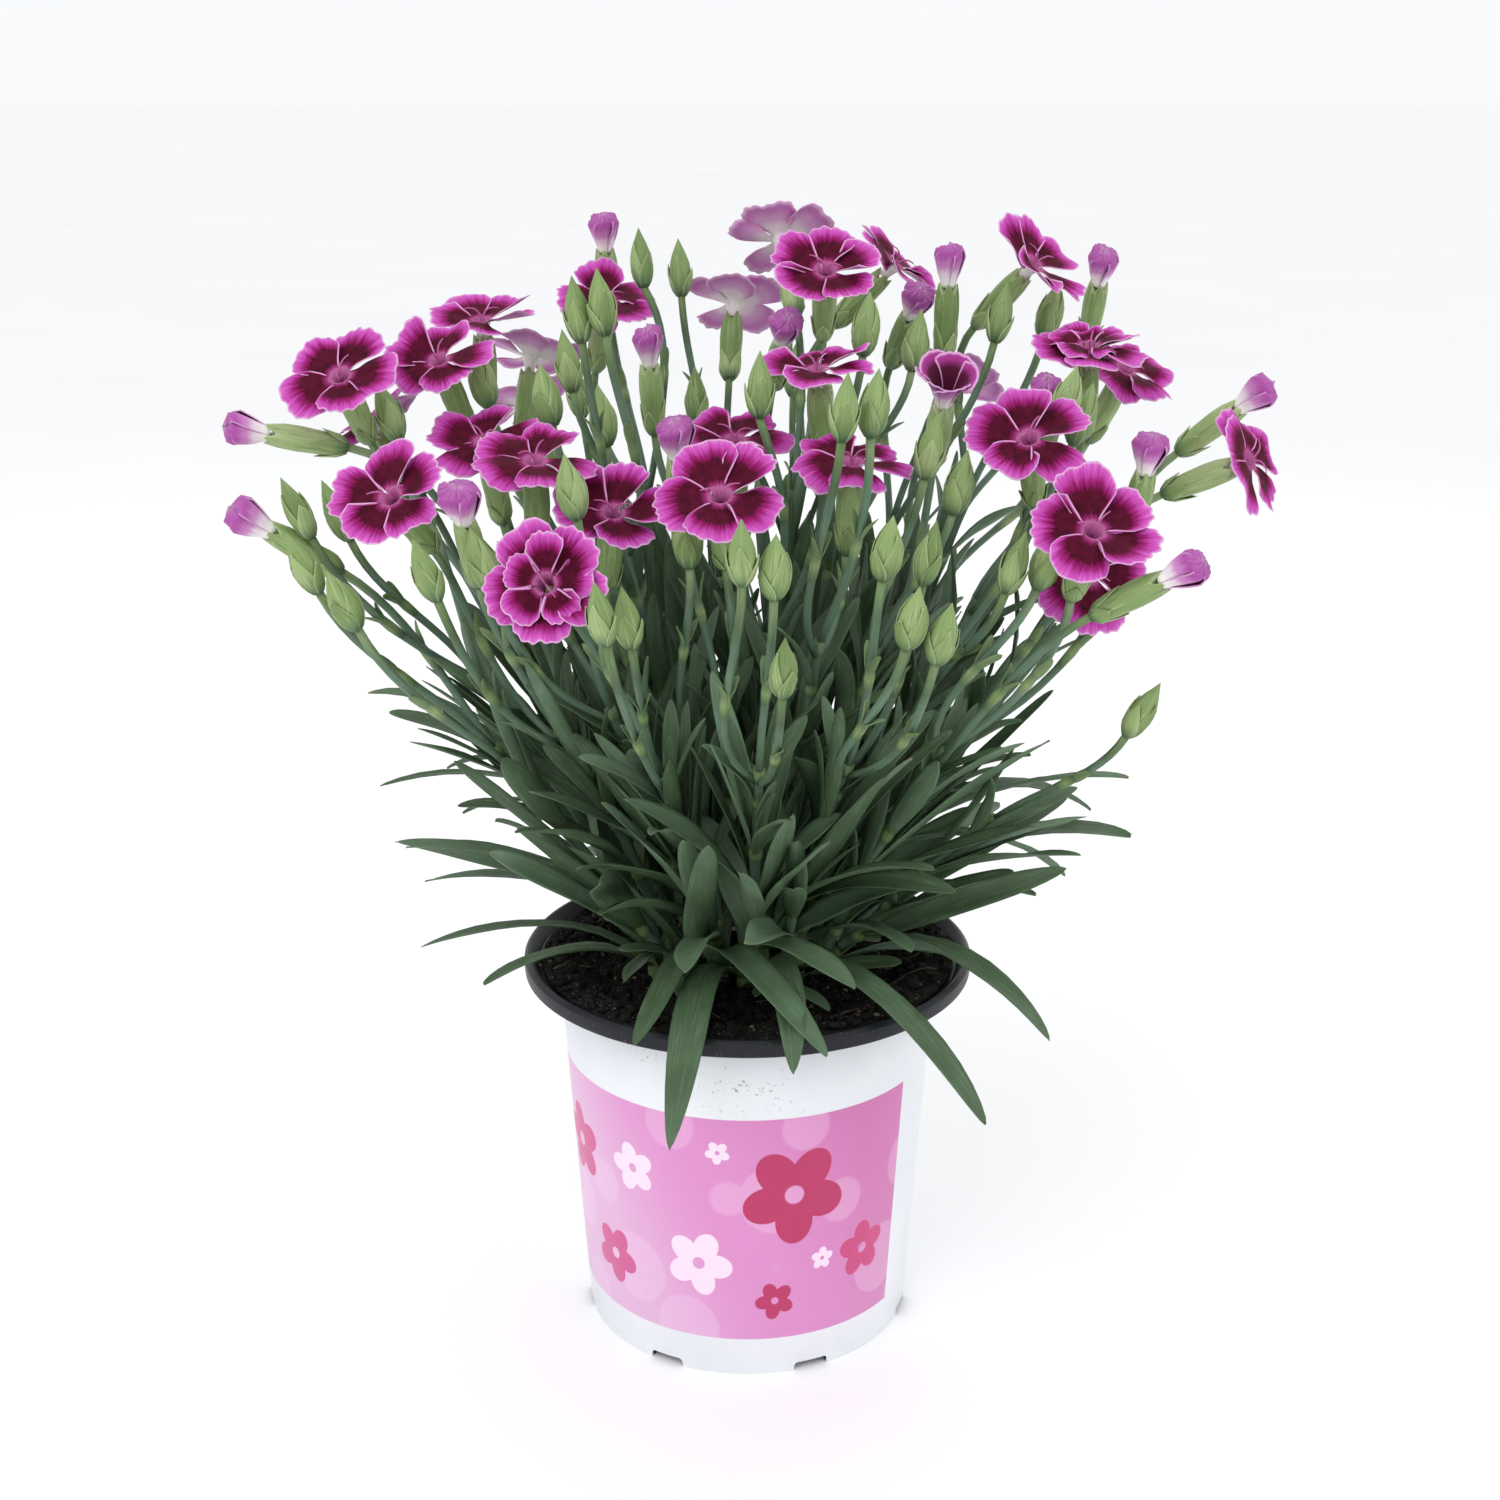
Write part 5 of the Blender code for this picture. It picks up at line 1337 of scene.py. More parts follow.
class Growth:
    """What one piece is made of, gathered before it becomes a mesh."""

    def __init__(self):
        self.points = []
        self.faces = []
        self.growth = []
        self.grain = []
        self.marks = []
        self.count = 0

    def add(self, form, points, growth, grain, mark=0):
        """A form with its points laid in place, and three numbers twice over for the material."""
        faces = form[1]
        self.points.append(points)
        self.growth.append(np.column_stack([np.broadcast_to(column, len(points)) for column in growth]))
        self.grain.append(np.column_stack([np.broadcast_to(column, len(points)) for column in grain]))
        self.faces += [tuple(i + self.count for i in face) for face in faces]
        self.marks += [mark] * len(faces)
        self.count += len(points)

    def finish(self, name, nodes, materials):
        """The mesh object of the piece. It rides on the root and stands for its nodes."""
        mesh = bpy.data.meshes.new(name)
        mesh.from_pydata((np.concatenate(self.points) * MM).tolist(), [], self.faces)
        for label, rows in (("growth", self.growth), ("grain", self.grain)):
            layer = mesh.attributes.new(label, "FLOAT_VECTOR", "POINT")
            layer.data.foreach_set("vector", np.concatenate(rows).astype(np.float32).ravel())
        mesh.polygons.foreach_set("use_smooth", [True] * len(mesh.polygons))
        mesh.polygons.foreach_set("material_index", self.marks)
        for material in materials:
            mesh.materials.append(material)
        obj = link(name, mesh)
        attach(obj, "root")
        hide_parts(*nodes)


def unit(rows):
    """Rows of vectors at unit length."""
    return rows / np.linalg.norm(rows, axis=1, keepdims=True)


def curve_frame(curve, t, face):
    """Places along a cubic curve with their heading, face and side directions, one row for each t."""
    a, b, c, d = (np.array(point) for point in curve)
    t = t[:, None]
    s = 1.0 - t
    point = a * s**3 + b * 3 * s * s * t + c * 3 * s * t * t + d * t**3
    run = unit((b - a) * s * s + (c - b) * 2 * s * t + (d - c) * t * t)
    up = np.broadcast_to(np.array(face), run.shape)
    up = unit(up - run * np.sum(up * run, axis=1, keepdims=True))
    return point, run, up, np.cross(run, up)


def thick_sheet(form, surface, thickness):
    """A thin blade form laid on a surface, which gives a place for each place across and along."""
    u, v, h = form[0].T
    step = 1e-3
    middle_face = surface(u, v)
    wide = surface(u + step, v) - surface(u - step, v)
    run = surface(u, np.minimum(v + step, 1.0)) - surface(u, np.maximum(v - step, 0.0))
    normal = unit(np.cross(wide, run))
    return middle_face + normal * (h * thickness)[:, None]


def around(centre, axis, first, angle, reach, height):
    """Places round an axis: angles from a first direction, reaches, and heights over a centre."""
    one = np.array(square_to(axis, first))
    two = np.cross(np.array(axis), one)
    flat = one * np.cos(angle)[:, None] + two * np.sin(angle)[:, None]
    return np.array(centre) + flat * reach[:, None] + np.array(axis) * height[:, None]


def leaf_outline(v):
    """The share of full width along a leaf: a clasping base, widest past the middle, and a blunt tip."""
    base = 0.42 + 0.58 * np.sin(np.clip(v / 0.42, 0.0, 1.0) * np.pi / 2) ** 1.3
    tip = np.clip(1.0 - np.clip((v - 0.45) / 0.55, 0.0, 1.0) ** 2.5, 0.0, 1.0) ** 0.6
    return np.maximum(base * tip, 0.02)


def closer_at_tip(v):
    """Moves the rows of a leaf towards its tip, so that the tip is round."""
    return 1.0 - (1.0 - v) ** 1.7


def grow_leaf(growth, leaf, luck, ripe=0.0):
    """One leaf: a grooved blade that bends along its curve, a little twisted and waved."""
    swing = (luck - 0.5) * LEAF_TWIST

    def surface(u, v):
        v = closer_at_tip(v)
        point, run, face, side = curve_frame(leaf["curve"], v, leaf["face"])
        turn = (swing * v)[:, None]
        side, face = side * np.cos(turn) + face * np.sin(turn), face * np.cos(turn) - side * np.sin(turn)
        half = leaf["width"] / 2 * leaf_outline(v)
        lift = half * (np.abs(u) ** 1.4) * LEAF_GROOVE * 1.3
        wave = LEAF_WAVE * leaf["width"] * u * np.sin(9.0 * v + 20.0 * luck)
        return point + side * (u * half)[:, None] + face * (lift + wave)[:, None]

    form = FORMS["leaf"]
    u, v, h = form[0].T
    place = closer_at_tip(v)
    thin = BLADE_THICKNESS * (1.0 - 0.55 * np.abs(u)) * (1.0 - 0.5 * place)
    points = thick_sheet(form, surface, thin)
    reach = (leaf["curve"][3] - leaf["curve"][0]).length
    dry = np.clip((place - 0.98) / 0.02, 0.0, 1.0) * (luck > 0.88)
    growth.add(form, points, (ripe, place, luck), (u * leaf["width"] / 2, place * reach, dry))


def tube_rows(form, centres, headings, firsts, radii):
    """The points of a tube form laid along rings. A ring's radius may differ round it."""
    x, y, z = form[0].T
    rings = len(centres) - 1
    index = np.clip(np.round(z * rings).astype(int), 0, rings)
    reach = np.hypot(x, y)
    angle = np.arctan2(y, x)
    one = unit(firsts - headings * np.sum(firsts * headings, axis=1, keepdims=True))
    two = np.cross(headings, one)
    wide = (reach * radii(angle, z))[:, None]
    flat = one[index] * np.cos(angle)[:, None] + two[index] * np.sin(angle)[:, None]
    return centres[index] + flat * wide, angle, z


def straight_rows(form, base, axis, first, length, radii):
    """The points of a tube form laid along a straight axis."""
    steps = np.linspace(0.0, length, STALK_RINGS + 1)[:, None]
    centres = np.array(base) + steps * np.array(axis)
    headings, firsts = (np.broadcast_to(np.array(way), centres.shape) for way in (axis, first))
    return tube_rows(form, centres, headings, firsts, radii)


def grow_stem_tube(growth, stem, luck):
    """A stem from the crown to its last joint, swollen at each joint."""
    form = FORMS["stem"]
    rings = STEM_RINGS
    heights = np.linspace(0.0, 1.0, rings + 1)
    centres = np.array([stem_point(stem, height) for height in heights])
    headings = np.array([stem_heading(stem, height) for height in heights])
    firsts = np.broadcast_to(np.array(stem["first"]), centres.shape)
    joints = [height for height, *_ in PAIRS] + [0.985]
    length = stem["top"] - stem["foot"].z

    def swelling(z):
        return sum(np.exp(-(((z - joint) * length / SWELLING_REACH[0]) ** 2)) for joint in joints)

    def radii(angle, z):
        return STEM_RADIUS * (1.2 - 0.26 * z) * (1.0 + STEM_SWELLING * swelling(z))

    points, angle, z = tube_rows(form, centres, headings, firsts, radii)
    ripe = np.clip(-0.5 + 1.3 * swelling(z), -0.5, 0.85)
    growth.add(form, points, (ripe, 0.6, luck), (np.abs(angle) * STEM_RADIUS, z * length, 0.0))


def grow_stalk_tube(growth, curve, head, first, luck):
    """A stalk from its joint to a head, with a pair of small bracts on the longer ones."""
    form = FORMS["stalk"]
    rings = STALK_RINGS
    t = np.linspace(0.0, 1.0, rings + 1)
    centres, headings, up, side = curve_frame(curve, t, first)
    reach = (curve[3] - curve[0]).length

    def radii(angle, z):
        joint = np.exp(-(((z - 0.5) * reach / SWELLING_REACH[1]) ** 2))
        return BRANCH_RADIUS * (1.0 + 0.12 * z + STALK_SWELLING * joint)

    points, angle, z = tube_rows(form, centres, headings, up, radii)
    joint = np.exp(-(((z - 0.5) * reach / SWELLING_REACH[1]) ** 2))
    ripe = np.clip(-0.3 + 1.1 * joint + 0.9 * np.clip((z - 0.75) / 0.25, 0.0, 1.0), -0.5, 1.0)
    growth.add(form, points, (ripe, 0.6, luck), (np.abs(angle) * BRANCH_RADIUS, z * reach, 0.0))
    if reach < BRACT_REACH:
        return
    base = bezier(curve, 0.5)
    run = heading(curve, 0.5)
    out, _ = across(run)
    turned = out * math.cos(luck * 6.0) + run.cross(out) * math.sin(luck * 6.0)
    for way in (turned, -turned):
        leaf = arched(base, run, way, BRACT_LENGTH * (0.8 + 0.4 * luck), 14.0, 26.0, BRACT_WIDTH)
        grow_leaf(growth, leaf, luck, 0.45)


def grow_scales(growth, base, axis, first, reach_at, luck, lengths, half_angle):
    """Two pairs of pointed scales that clasp a calyx or a bud. reach_at gives its radius at a height."""
    form = FORMS["scale"]
    u, v, h = form[0].T
    for k in range(4):
        angle = math.pi / 2 * k + 0.5 + 3.0 * luck
        size = lengths[k % 2] * (1.0 + 0.12 * math.sin(9.0 * luck + k))
        stand = (0.5, 0.24)[k % 2]

        def surface(u, v):
            wide = np.interp(v, SCALE_PLACES, SCALE_SHAPE) * math.radians(half_angle)
            level = size * v
            reach = reach_at(level) + stand * (0.75 + 0.35 * v**4) + 0.12 * (1.0 - u * u) * v
            return around(base, axis, first, angle + u * wide, reach, level)

        points = thick_sheet(form, surface, SCALE_SHEET)
        rim = -np.maximum(np.abs(u), np.clip((v - 0.8) * 5.0, 0.0, 1.0))
        own_luck = (luck * 7.0 + 0.37 * k) % 1.0
        growth.add(form, points, (1.0, 0.1 + 0.7 * v, own_luck), (u * 3.6, v * size, rim))


def grow_calyx(growth, head, first, luck):
    """The ribbed green tube under an open flower, with five pointed teeth round its mouth."""
    axis = head["axis"]
    base = head_base(head)
    length = CALYX_LENGTH + TOOTH_LENGTH * 0.55

    def reach_at(level):
        return CALYX_RADIUS * np.interp(level / length, CALYX_PLACES, CALYX_SHAPE)

    def radii(angle, z):
        return reach_at(z * length) * (1.0 + 0.045 * np.cos(15 * angle) + 0.03 * np.cos(5 * angle))

    form = FORMS["calyx"]
    points, angle, z = straight_rows(form, base, axis, first, length, radii)
    teeth = np.abs(((angle * 5 / math.tau) % 1.0) - 0.5) * 2.0
    drop = np.clip((z - 0.72) / 0.28, 0.0, 1.0) * teeth * TOOTH_LENGTH
    points = points - np.array(axis) * drop[:, None]
    rim = -np.clip((z - 0.86) / 0.1, 0.0, 1.0)
    growth.add(form, points, (1.0, 0.25 + 0.75 * z, luck), (np.abs(angle) * CALYX_RADIUS, z * length, rim))
    grow_scales(growth, base, axis, first, reach_at, luck, (7.0, 9.0), 50.0)


def grow_bud(growth, head, first, luck):
    """A closed bud: a pointed oval with five soft folds that twist towards its tip, in its scales."""
    axis = head["axis"]
    base = head_base(head)
    fat = BUD_RADIUS * (0.78 + 0.22 * luck)

    def reach_at(level):
        return fat * np.interp(level / BUD_LENGTH, BUD_PLACES, BUD_SHAPE)

    def radii(angle, z):
        folds = 0.11 * np.cos(5 * angle + 4.0 * z) * np.clip((z - 0.25) / 0.6, 0.0, 1.0)
        return reach_at(z * BUD_LENGTH) * (1.0 + folds)

    form = FORMS["bud"]
    points, angle, z = straight_rows(form, base, axis, first, BUD_LENGTH, radii)
    growth.add(form, points, (1.0, 0.3 + 0.66 * z, luck), (np.abs(angle) * BUD_RADIUS, z * BUD_LENGTH, 0.0))
    grow_scales(growth, base, axis, first, reach_at, luck, (8.0 + 2.0 * luck, 11.0 + 1.5 * luck), 62.0)


def petal_surface(head, turn, size, shape):
    """The middle face of one petal. u runs across it, and v from the foot of its claw to its edge."""
    axis = head["axis"]
    centre = head["centre"] + axis * shape["rise"]
    low = -CALYX_MOUTH + GAP - shape["rise"]

    def surface(u, v):
        limb = np.clip((v - CLAW_SHARE) / (1.0 - CLAW_SHARE), 0.0, 1.0)
        claw = np.clip(v / CLAW_SHARE, 0.0, 1.0)
        span = math.radians(shape["span"]) * (0.82 + 0.18 * np.sin(limb * np.pi / 2))
        teeth = TOOTH_DEPTH * np.abs(np.sin(u * TEETH * math.pi / 2 + turn))
        teeth = teeth + FINE_TOOTH_DEPTH * np.sin(u * 23.0 + 5.0 * turn)
        outline = 1.0 - shape["lobe"] * np.abs(u) ** 3.6 - NOTCH_IN_PETAL * np.exp(-((u / 0.14) ** 2))
        reach = THROAT + (size - THROAT) * limb * (outline + teeth * limb**3)
        reach = np.where(v < CLAW_SHARE, CLAW_FOOT + (THROAT - CLAW_FOOT) * claw**1.5, reach)
        height = np.where(v < CLAW_SHARE, low + (THROAT_HEIGHT - low) * claw, THROAT_HEIGHT)
        height = height + shape["cup"] * limb**1.5
        height = height - shape["roll"] * np.clip(limb - 0.55, 0.0, 1.0) ** 2 * 5.0
        height = height + shape["slope"] * reach * limb + u * shape["lap"] * np.minimum(limb * 3.0, 1.0)
        height = height + shape["wave"] * limb**2 * np.sin(u * 5.2 + shape["phase"])
        height = height + shape["arch"] * u * u * limb
        height = height + 0.9 * (1.0 - u * u) * limb * (1.0 - limb) + shape["tilt"] * u * limb**2
        return around(centre, axis, across(axis)[0], turn - u * span, reach, height)

    return surface


def grow_petal(growth, head, turn, size, shape, luck):
    """One petal and the numbers that place its colours."""
    form = FORMS["petal"]
    u, v, h = form[0].T
    points = thick_sheet(form, petal_surface(head, turn, size, shape), PETAL_SHEET * (1.0 - 0.5 * v))
    limb = np.clip((v - CLAW_SHARE) / (1.0 - CLAW_SHARE), 0.0, 1.0)
    rim = (1.0 - limb) * (size - THROAT)
    side = (1.0 - np.abs(u)) * (0.3 + limb) * size * math.radians(shape["span"])
    back = (h < 0.0).astype(float)
    growth.add(form, points, (limb, rim * BLOOM_RADIUS / size, side), (u, back, luck))


def grow_styles(growth, head, draw):
    """Two pale styles that curl out of the throat."""
    axis = head["axis"]
    one, two = across(axis)
    start = draw.uniform(0.0, math.tau)
    form = FORMS["style"]
    for k in range(2):
        angle = start + math.pi * k + draw.uniform(-0.5, 0.5)
        way = one * math.cos(angle) + two * math.sin(angle)
        foot = head["centre"] - axis * 3.0
        curve = (foot, foot + axis * 4.5, foot + axis * 6.0 + way * 1.6, foot + axis * 5.4 + way * 4.6)
        frames = curve_frame(curve, np.linspace(0.0, 1.0, STYLE_RINGS + 1), one + two * 0.3)
        points = tube_rows(form, *frames[:3], lambda angle, z: 0.34 * (1.0 - 0.55 * z))[0]
        growth.add(form, points, (0.02, 9.0, 9.0), (0.0, 0.0, 0.5))


def grow_bloom(head, spin, draw, materials, name, node):
    """An open flower: five petals, a second set if it is double, and its styles."""
    growth = Growth()
    cup = draw.uniform(-0.2, 2.2)
    roll = draw.uniform(0.0, 1.6)
    slope = draw.uniform(-0.05, 0.08)
    rounds = [(0.0, BLOOM_RADIUS, 43.0, 0.5, (0.93, 1.05))]
    if head["kind"] == "double":
        rounds.append((INNER_RISE, INNER_RADIUS, 38.0, 0.0, (0.85, 1.2)))
    for rise, size, span, step, spread in rounds:
        for i in range(PETALS):
            shape = {
                "rise": rise,
                "span": span + draw.uniform(-3.0, 2.0),
                "lobe": draw.uniform(0.36, 0.5),
                "cup": cup + 1.6 * rise + draw.uniform(-1.5, 1.8),
                "roll": roll * draw.uniform(0.3, 1.3),
                "slope": slope + draw.uniform(-0.1, 0.14),
                "lap": 0.8,
                "tilt": draw.uniform(-0.6, 1.2),
                "wave": draw.uniform(0.4, 1.1),
                "phase": draw.uniform(0.0, math.tau),
                "arch": draw.uniform(-1.6, 1.6),
            }
            turn = spin + math.tau * (i + step) / PETALS + draw.uniform(-0.1, 0.1)
            grow_petal(growth, head, turn, size * draw.uniform(*spread), shape, draw.random())
    grow_styles(growth, head, draw)
    growth.finish(name, [node], materials)


def roll_surface(head, turn, shape):
    """The middle face of a petal that is still rolled: it wraps round the axis over the next one."""
    axis = head["axis"]
    foot = head["centre"] - axis * (CALYX_MOUTH - GAP)

    def surface(u, v):
        fold = 1.0 + shape["fold"] * u * np.minimum(v * 3.0, 1.0)
        reach = np.interp(v, ROLL_PLACES, shape["radii"]) * fold * shape["fat"]
        notch = 0.12 * np.abs(u) ** 2.4 + 0.03 * np.abs(np.sin(u * 8.0 + turn))
        level = shape["height"] * v * (1.0 - notch * v**2)
        angle = turn - u * math.radians(shape["span"]) * (0.75 + 0.25 * v) + shape["twist"] * v
        return around(foot, axis, across(axis)[0], angle, reach, level)

    return surface


def grow_opening(head, draw, materials, name, node):
    """An opening flower: five petals rolled to a blunt point, or flared in a trumpet."""
    growth = Growth()
    rolled = head["kind"] == "half"
    spin = draw.uniform(0.0, math.tau)
    fat = draw.uniform(0.9, 1.14)
    twist = draw.uniform(0.3, 0.8)
    form = FORMS["petal"]
    u, v, h = form[0].T
    for i in range(PETALS):
        shape = {
            "radii": ROLL_SHAPE if rolled else TRUMPET_SHAPE,
            "height": ROLL_HEIGHT * draw.uniform(0.9, 1.04),
            "span": 60.0 if rolled else 50.0,
            "fold": 0.16 if rolled else 0.1,
            "fat": fat * draw.uniform(0.96, 1.04),
            "twist": twist if rolled else 0.25,
        }
        turn = spin + math.tau * i / PETALS
        points = thick_sheet(form, roll_surface(head, turn, shape), PETAL_SHEET)
        back = (h < 0.0).astype(float)
        side = (1.0 - np.abs(u)) * 4.0
        growth.add(form, points, (v, (1.0 - v) * shape["height"], side), (u, back, draw.random()))
    growth.finish(name, [node], materials)


def grow_spray(spray, number, draw, materials):
    """One spray: root, stems, stalks, leaves, calyces and buds in one piece."""
    growth = Growth()
    form = FORMS["stalk"]
    foot = spray["root"] + UP * spray["foot"]
    first = facing_level(spray["turn"])
    length = CROWN_TOP + 1.0 - spray["foot"]

    def radii(angle, z):
        return ROOT_RADIUS * (1.0 - 0.2 * z)

    points, angle, z = straight_rows(form, foot, UP, first, length, radii)
    growth.add(form, points, (0.55, 0.5, 0.4), (np.cos(angle), z, 0.0))
    leaves = [limb for limb in spray["sides"].values() if "curve" in limb]
    for leaf in leaves + spray["fill"]:
        grow_leaf(growth, leaf, draw.random())
    for stem in spray["stems"]:
        grow_stem_tube(growth, stem, draw.random())
        for leaf in stem["leaves"].values():
            grow_leaf(growth, leaf, draw.random())
        for curve, head in stem["limbs"].values():
            luck = draw.random()
            grow_stalk_tube(growth, curve, head, stem["first"], luck)
            grow_green = grow_bud if head["kind"] == "bud" else grow_calyx
            grow_green(growth, head, across(head["axis"])[0], luck)
    growth.finish(f"leafy_spray_{number:02d}", [f"spray_{number:02d}"], materials)


def add_profile(name, profile, material, steps):
    """A solid of revolution from a half section."""
    mesh = bpy.data.meshes.new(name)
    edges = [(i, i + 1) for i in range(len(profile) - 1)]
    if profile[-1][0] > 0.0:
        edges.append((len(profile) - 1, 0))
    mesh.from_pydata([(radius * MM, 0.0, height * MM) for radius, height in profile], edges, [])
    obj = link(name, mesh)
    mesh.materials.append(material)
    screw = obj.modifiers.new("Turn", "SCREW")
    screw.steps = steps
    screw.render_steps = steps
    screw.use_merge_vertices = True
    screw.merge_threshold = 0.00001
    return obj


def make_active(obj):
    """Selects one object alone."""
    deselect()
    bpy.context.view_layer.objects.active = obj
    obj.select_set(True)


def apply_modifiers(obj):
    make_active(obj)
    for modifier in list(obj.modifiers):
        bpy.ops.object.modifier_apply(modifier=modifier.name)


def cut_out(obj, cutters):
    """Takes the cutters out of an object."""
    for cutter in cutters:
        boolean = obj.modifiers.new("Cut", "BOOLEAN")
        boolean.operation = "DIFFERENCE"
        boolean.object = cutter
        boolean.solver = "EXACT"
    apply_modifiers(obj)


def foot_spot(i, reach):
    """The direction of a place round the pot's foot as an angle, and its spot in metres."""
    angle = math.radians(FIRST_NOTCH + 360.0 / FEET * i - 90.0)
    return angle, facing_level(angle) * (reach * MM)


def foot_notches():
    """Round-topped boxes across the wall's lower edge, one between every two feet."""
    cutters = []
    for i in range(FEET):
        angle, spot = foot_spot(i, WALL_FOOT_RADIUS)
        deselect()
        bpy.ops.mesh.primitive_cube_add(size=1.0, location=spot, rotation=(0.0, 0.0, angle))
        box = bpy.context.active_object
        box.scale = (NOTCH_DEPTH * MM, NOTCH_WIDTH * MM, 2 * NOTCH_HEIGHT * MM)
        bpy.ops.object.transform_apply(location=True, rotation=True, scale=True)
        ease = box.modifiers.new("Ease", "BEVEL")
        ease.width = NOTCH_ROUND * MM
        ease.segments = 4
        bpy.ops.object.modifier_apply(modifier=ease.name)
        cutters.append(box)
    return cutters


def drain_holes():
    """Round pegs through the floor, each between two notches."""
    cutters = []
    for i in range(FEET):
        spot = foot_spot(i + 0.5, DRAIN_CIRCLE)[1] + UP * (FLOOR_TOP * MM)
        deselect()
        size = {"radius": DRAIN_RADIUS * MM, "depth": DRAIN_DEPTH * MM}
        bpy.ops.mesh.primitive_cylinder_add(vertices=32, location=spot, **size)
        bpy.ops.object.transform_apply(location=True)
        cutters.append(bpy.context.active_object)
    return cutters


def make_pot(black, white):
    """The pot and the printed layer of its wall, round and with its feet and drain holes."""
    notches = foot_notches()
    drains = drain_holes()
    pot = add_profile("black_pot_body", pot_profile(), black, POT_STEPS)
    cut_out(pot, notches + drains)
    wall = add_profile("white_pot_wall", skin_profile(), white, POT_STEPS)
    cut_out(wall, notches)
    for cutter in notches + drains:
        bpy.data.objects.remove(cutter)
    for obj, node, slot in ((pot, "pot", "pot_black"), (wall, "pot_skin", "pot_white")):
        ease = obj.modifiers.new("Ease", "BEVEL")
        ease.width = POT_EASE * MM
        ease.segments = 2
        ease.limit_method = "ANGLE"
        ease.angle_limit = math.radians(35.0)
        apply_modifiers(obj)
        make_active(obj)
        bpy.ops.object.shade_smooth_by_angle(angle=0.6)
        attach(obj, "root")
        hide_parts(node)


def peat_height(x, y):
    """The soil's top with its fine lumps."""
    fine = 0.45 * math.sin(1.9 * x + 0.6 * y) * math.cos(1.7 * y - 0.4 * x)
    return soil_height(x, y) + (fine + 0.3 * math.sin(3.7 * x) * math.sin(3.3 * y + 1.0))


def add_crumbs(growth, draw):
    """Loose crumbs of peat on the soil, and small pale grains among them."""
    form = FORMS["crumb"]
    for i in range(CRUMBS):
        radius = BANK_RADIUS * math.sqrt(draw.random()) * 0.985
        turn = draw.uniform(0.0, math.tau)
        x, y = radius * math.cos(turn), radius * math.sin(turn)
        size = 0.45 + 1.5 * draw.random() ** 2.5
        stretch = np.array([draw.uniform(*limits) for limits in CRUMB_STRETCH])
        jitter = np.array([[draw.uniform(0.7, 1.3)] for _ in form[0]])
        place = np.array([x, y, peat_height(x, y) + size * 0.25])
        mark = 1 if draw.random() < PALE_SHARE else 0
        size *= 0.4 if mark else 1.0
        growth.add(form, form[0] * stretch * jitter * size + place, NO_GROWTH, NO_GROWTH, mark)


def add_fibres(growth, draw):
    """Fine roots that lie about on the soil."""
    form = FORMS["style"]
    for i in range(FIBRES):
        way = facing_level(draw.uniform(0.0, math.tau))
        length = draw.uniform(4.0, 15.0)
        at = facing_level(draw.uniform(0.0, math.tau)) * (BANK_RADIUS * math.sqrt(draw.random()) * 0.9)
        row = []
        for k in range(4):
            spot = at + way * (length * (k / 3 - 0.5)) + way.cross(UP) * draw.uniform(-2.5, 2.5)
            if spot.length > BANK_RADIUS - 1.0:
                spot = spot.normalized() * (BANK_RADIUS - 1.0)
            spot.z = peat_height(spot.x, spot.y) + draw.uniform(0.2, 1.6)
            row.append(spot)
        frames = curve_frame(row, np.linspace(0.0, 1.0, STYLE_RINGS + 1), UP)
        thin = draw.uniform(0.12, 0.26)
        points = tube_rows(form, *frames[:3], lambda angle, z: thin + 0.0 * z)[0]
        growth.add(form, points, NO_GROWTH, NO_GROWTH, 1)


def make_soil(draw, peat, fibre):
    """The soil that fills the pot, with loose crumbs, pale grains and fine roots on its top."""
    growth = Growth()
    form = FORMS["soil"]
    x, y, z = form[0].T
    stages = (0.0, 1 / 3, 2 / 3, 1.0)
    levels, radii = zip(*soil_side())
    wide = np.interp(z, stages, radii)
    tops = np.array([peat_height(*spot) for spot in zip(x * wide, y * wide)])
    level = np.where(z > 0.99, tops, np.interp(z, stages, levels))
    growth.add(form, np.column_stack([x * wide, y * wide, level]), NO_GROWTH, NO_GROWTH)
    add_crumbs(growth, draw)
    add_fibres(growth, draw)
    growth.finish("peat_soil", ["soil"], [peat, fibre])


def link(name, data):
    """An object of its own for a mesh, a lamp or a camera."""
    obj = bpy.data.objects.new(name, data)
    bpy.context.scene.collection.objects.link(obj)
    return obj


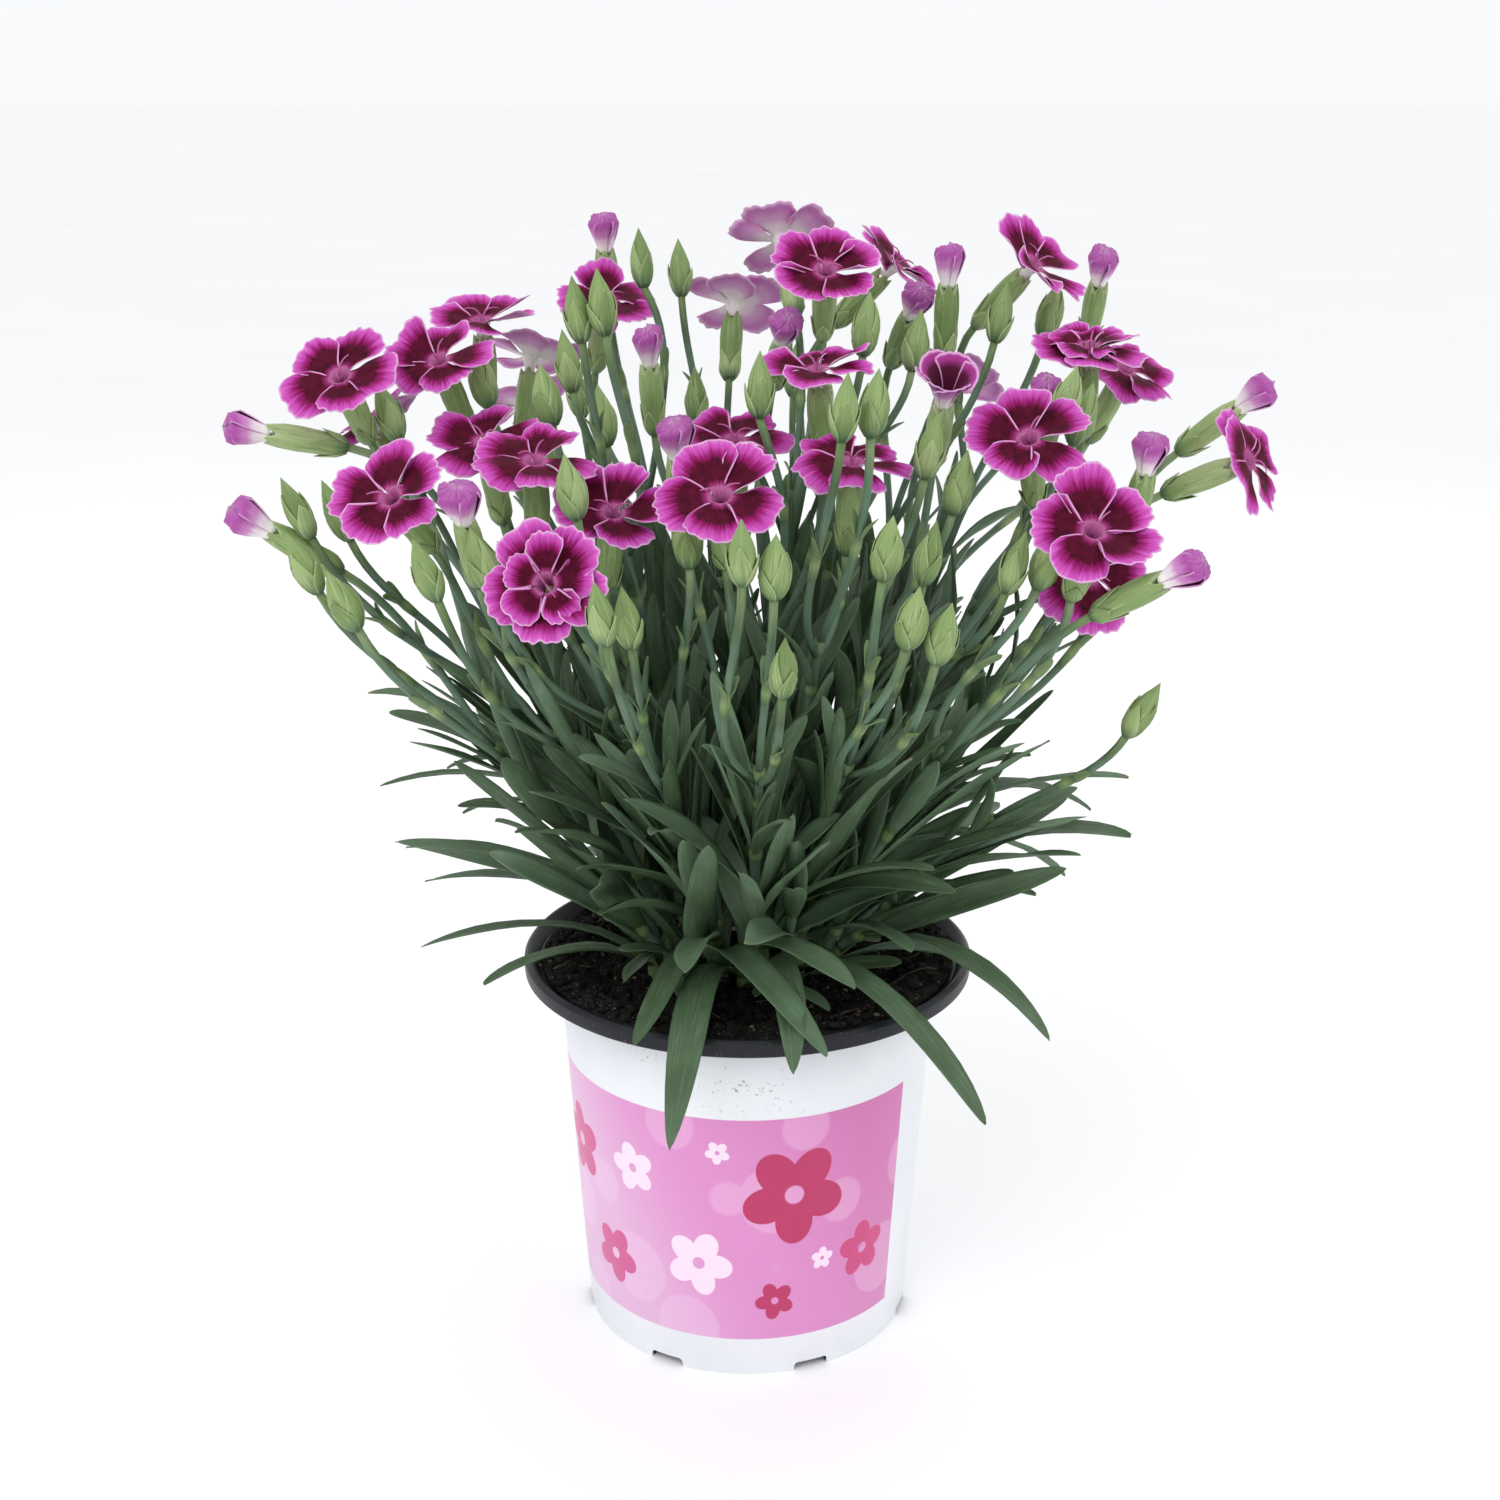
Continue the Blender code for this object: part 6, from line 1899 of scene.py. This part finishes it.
def make_studio():
    """A pale floor, soft light from the upper left front and all round, and the photograph's view."""
    deselect()
    bpy.ops.mesh.primitive_plane_add(size=FLOOR_SIZE, location=(0.0, 0.0, 0.0))
    floor = bpy.context.active_object
    floor.name = "studio_floor"
    floor.data.materials.append(floor_material())
    scene = bpy.context.scene
    scene.world = bpy.data.worlds.new("studio_air")
    scene.world.use_nodes = True
    air = scene.world.node_tree.nodes["Background"]
    air.inputs["Color"].default_value = linear("#fcfdff")
    air.inputs["Strength"].default_value = AIR_LIGHT
    for name, place, size, power in LAMPS:
        lamp = bpy.data.lights.new(name, "AREA")
        lamp.size = size
        lamp.energy = power
        obj = link(name, lamp)
        obj.location = place
        obj.rotation_euler = (Vector(AIM) - Vector(place)).to_track_quat("-Z", "Y").to_euler()
    lens = bpy.data.cameras.new("photo_view")
    lens.sensor_width = SENSOR_WIDTH
    lens.lens = SENSOR_WIDTH * FOCAL_PIXELS / PHOTO_PIXELS
    lens.clip_start = 0.01
    lens.clip_end = 50.0
    camera = link("photo_view", lens)
    camera.location = EYE * MM
    camera.rotation_euler = (math.radians(90.0 - PITCH_DOWN), 0.0, 0.0)
    scene.camera = camera
    scene.view_settings.view_transform = "Standard"
    scene.view_settings.look = "None"


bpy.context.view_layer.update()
deselect()
FORMS = {
    "leaf": blade_form(6, 12),
    "scale": blade_form(4, 6),
    "petal": blade_form(30, 12),
    "stem": tube_form(10, STEM_RINGS),
    "stalk": tube_form(8, STALK_RINGS),
    "calyx": tube_form(30, STALK_RINGS),
    "bud": tube_form(20, STALK_RINGS),
    "style": tube_form(6, STYLE_RINGS),
    "crumb": crumb_form(),
    "soil": soil_form(),
}
make_studio()
leaf_green = leaf_material()
petal = petal_material()
rolled = rolled_petal_material()
make_pot(pot_material(), printed_wall_material())
plan, placed = plan_plant()
place_fill_leaves(plan, placed, random.Random(FILL_SEED))
spins = random.Random(SPIN_SEED)
chance = random.Random(LOOK_SEED)
make_soil(chance, peat_material(), fibre_material())
blooms = 0
opening = 0
for s, spray in enumerate(plan):
    grow_spray(spray, s + 1, chance, [leaf_green])
    for stem in spray["stems"]:
        for head in stem["heads"]:
            if head["kind"] in ("bloom", "double"):
                blooms += 1
                spin = spins.uniform(0.0, math.tau)
                grow_bloom(head, spin, chance, [petal], f"open_bloom_{blooms:02d}", f"bloom_{blooms:02d}")
            elif head["kind"] != "bud":
                opening += 1
                node = f"opening_bloom_{opening:02d}"
                grow_opening(head, chance, [rolled], f"rolled_bloom_{opening:02d}", node)
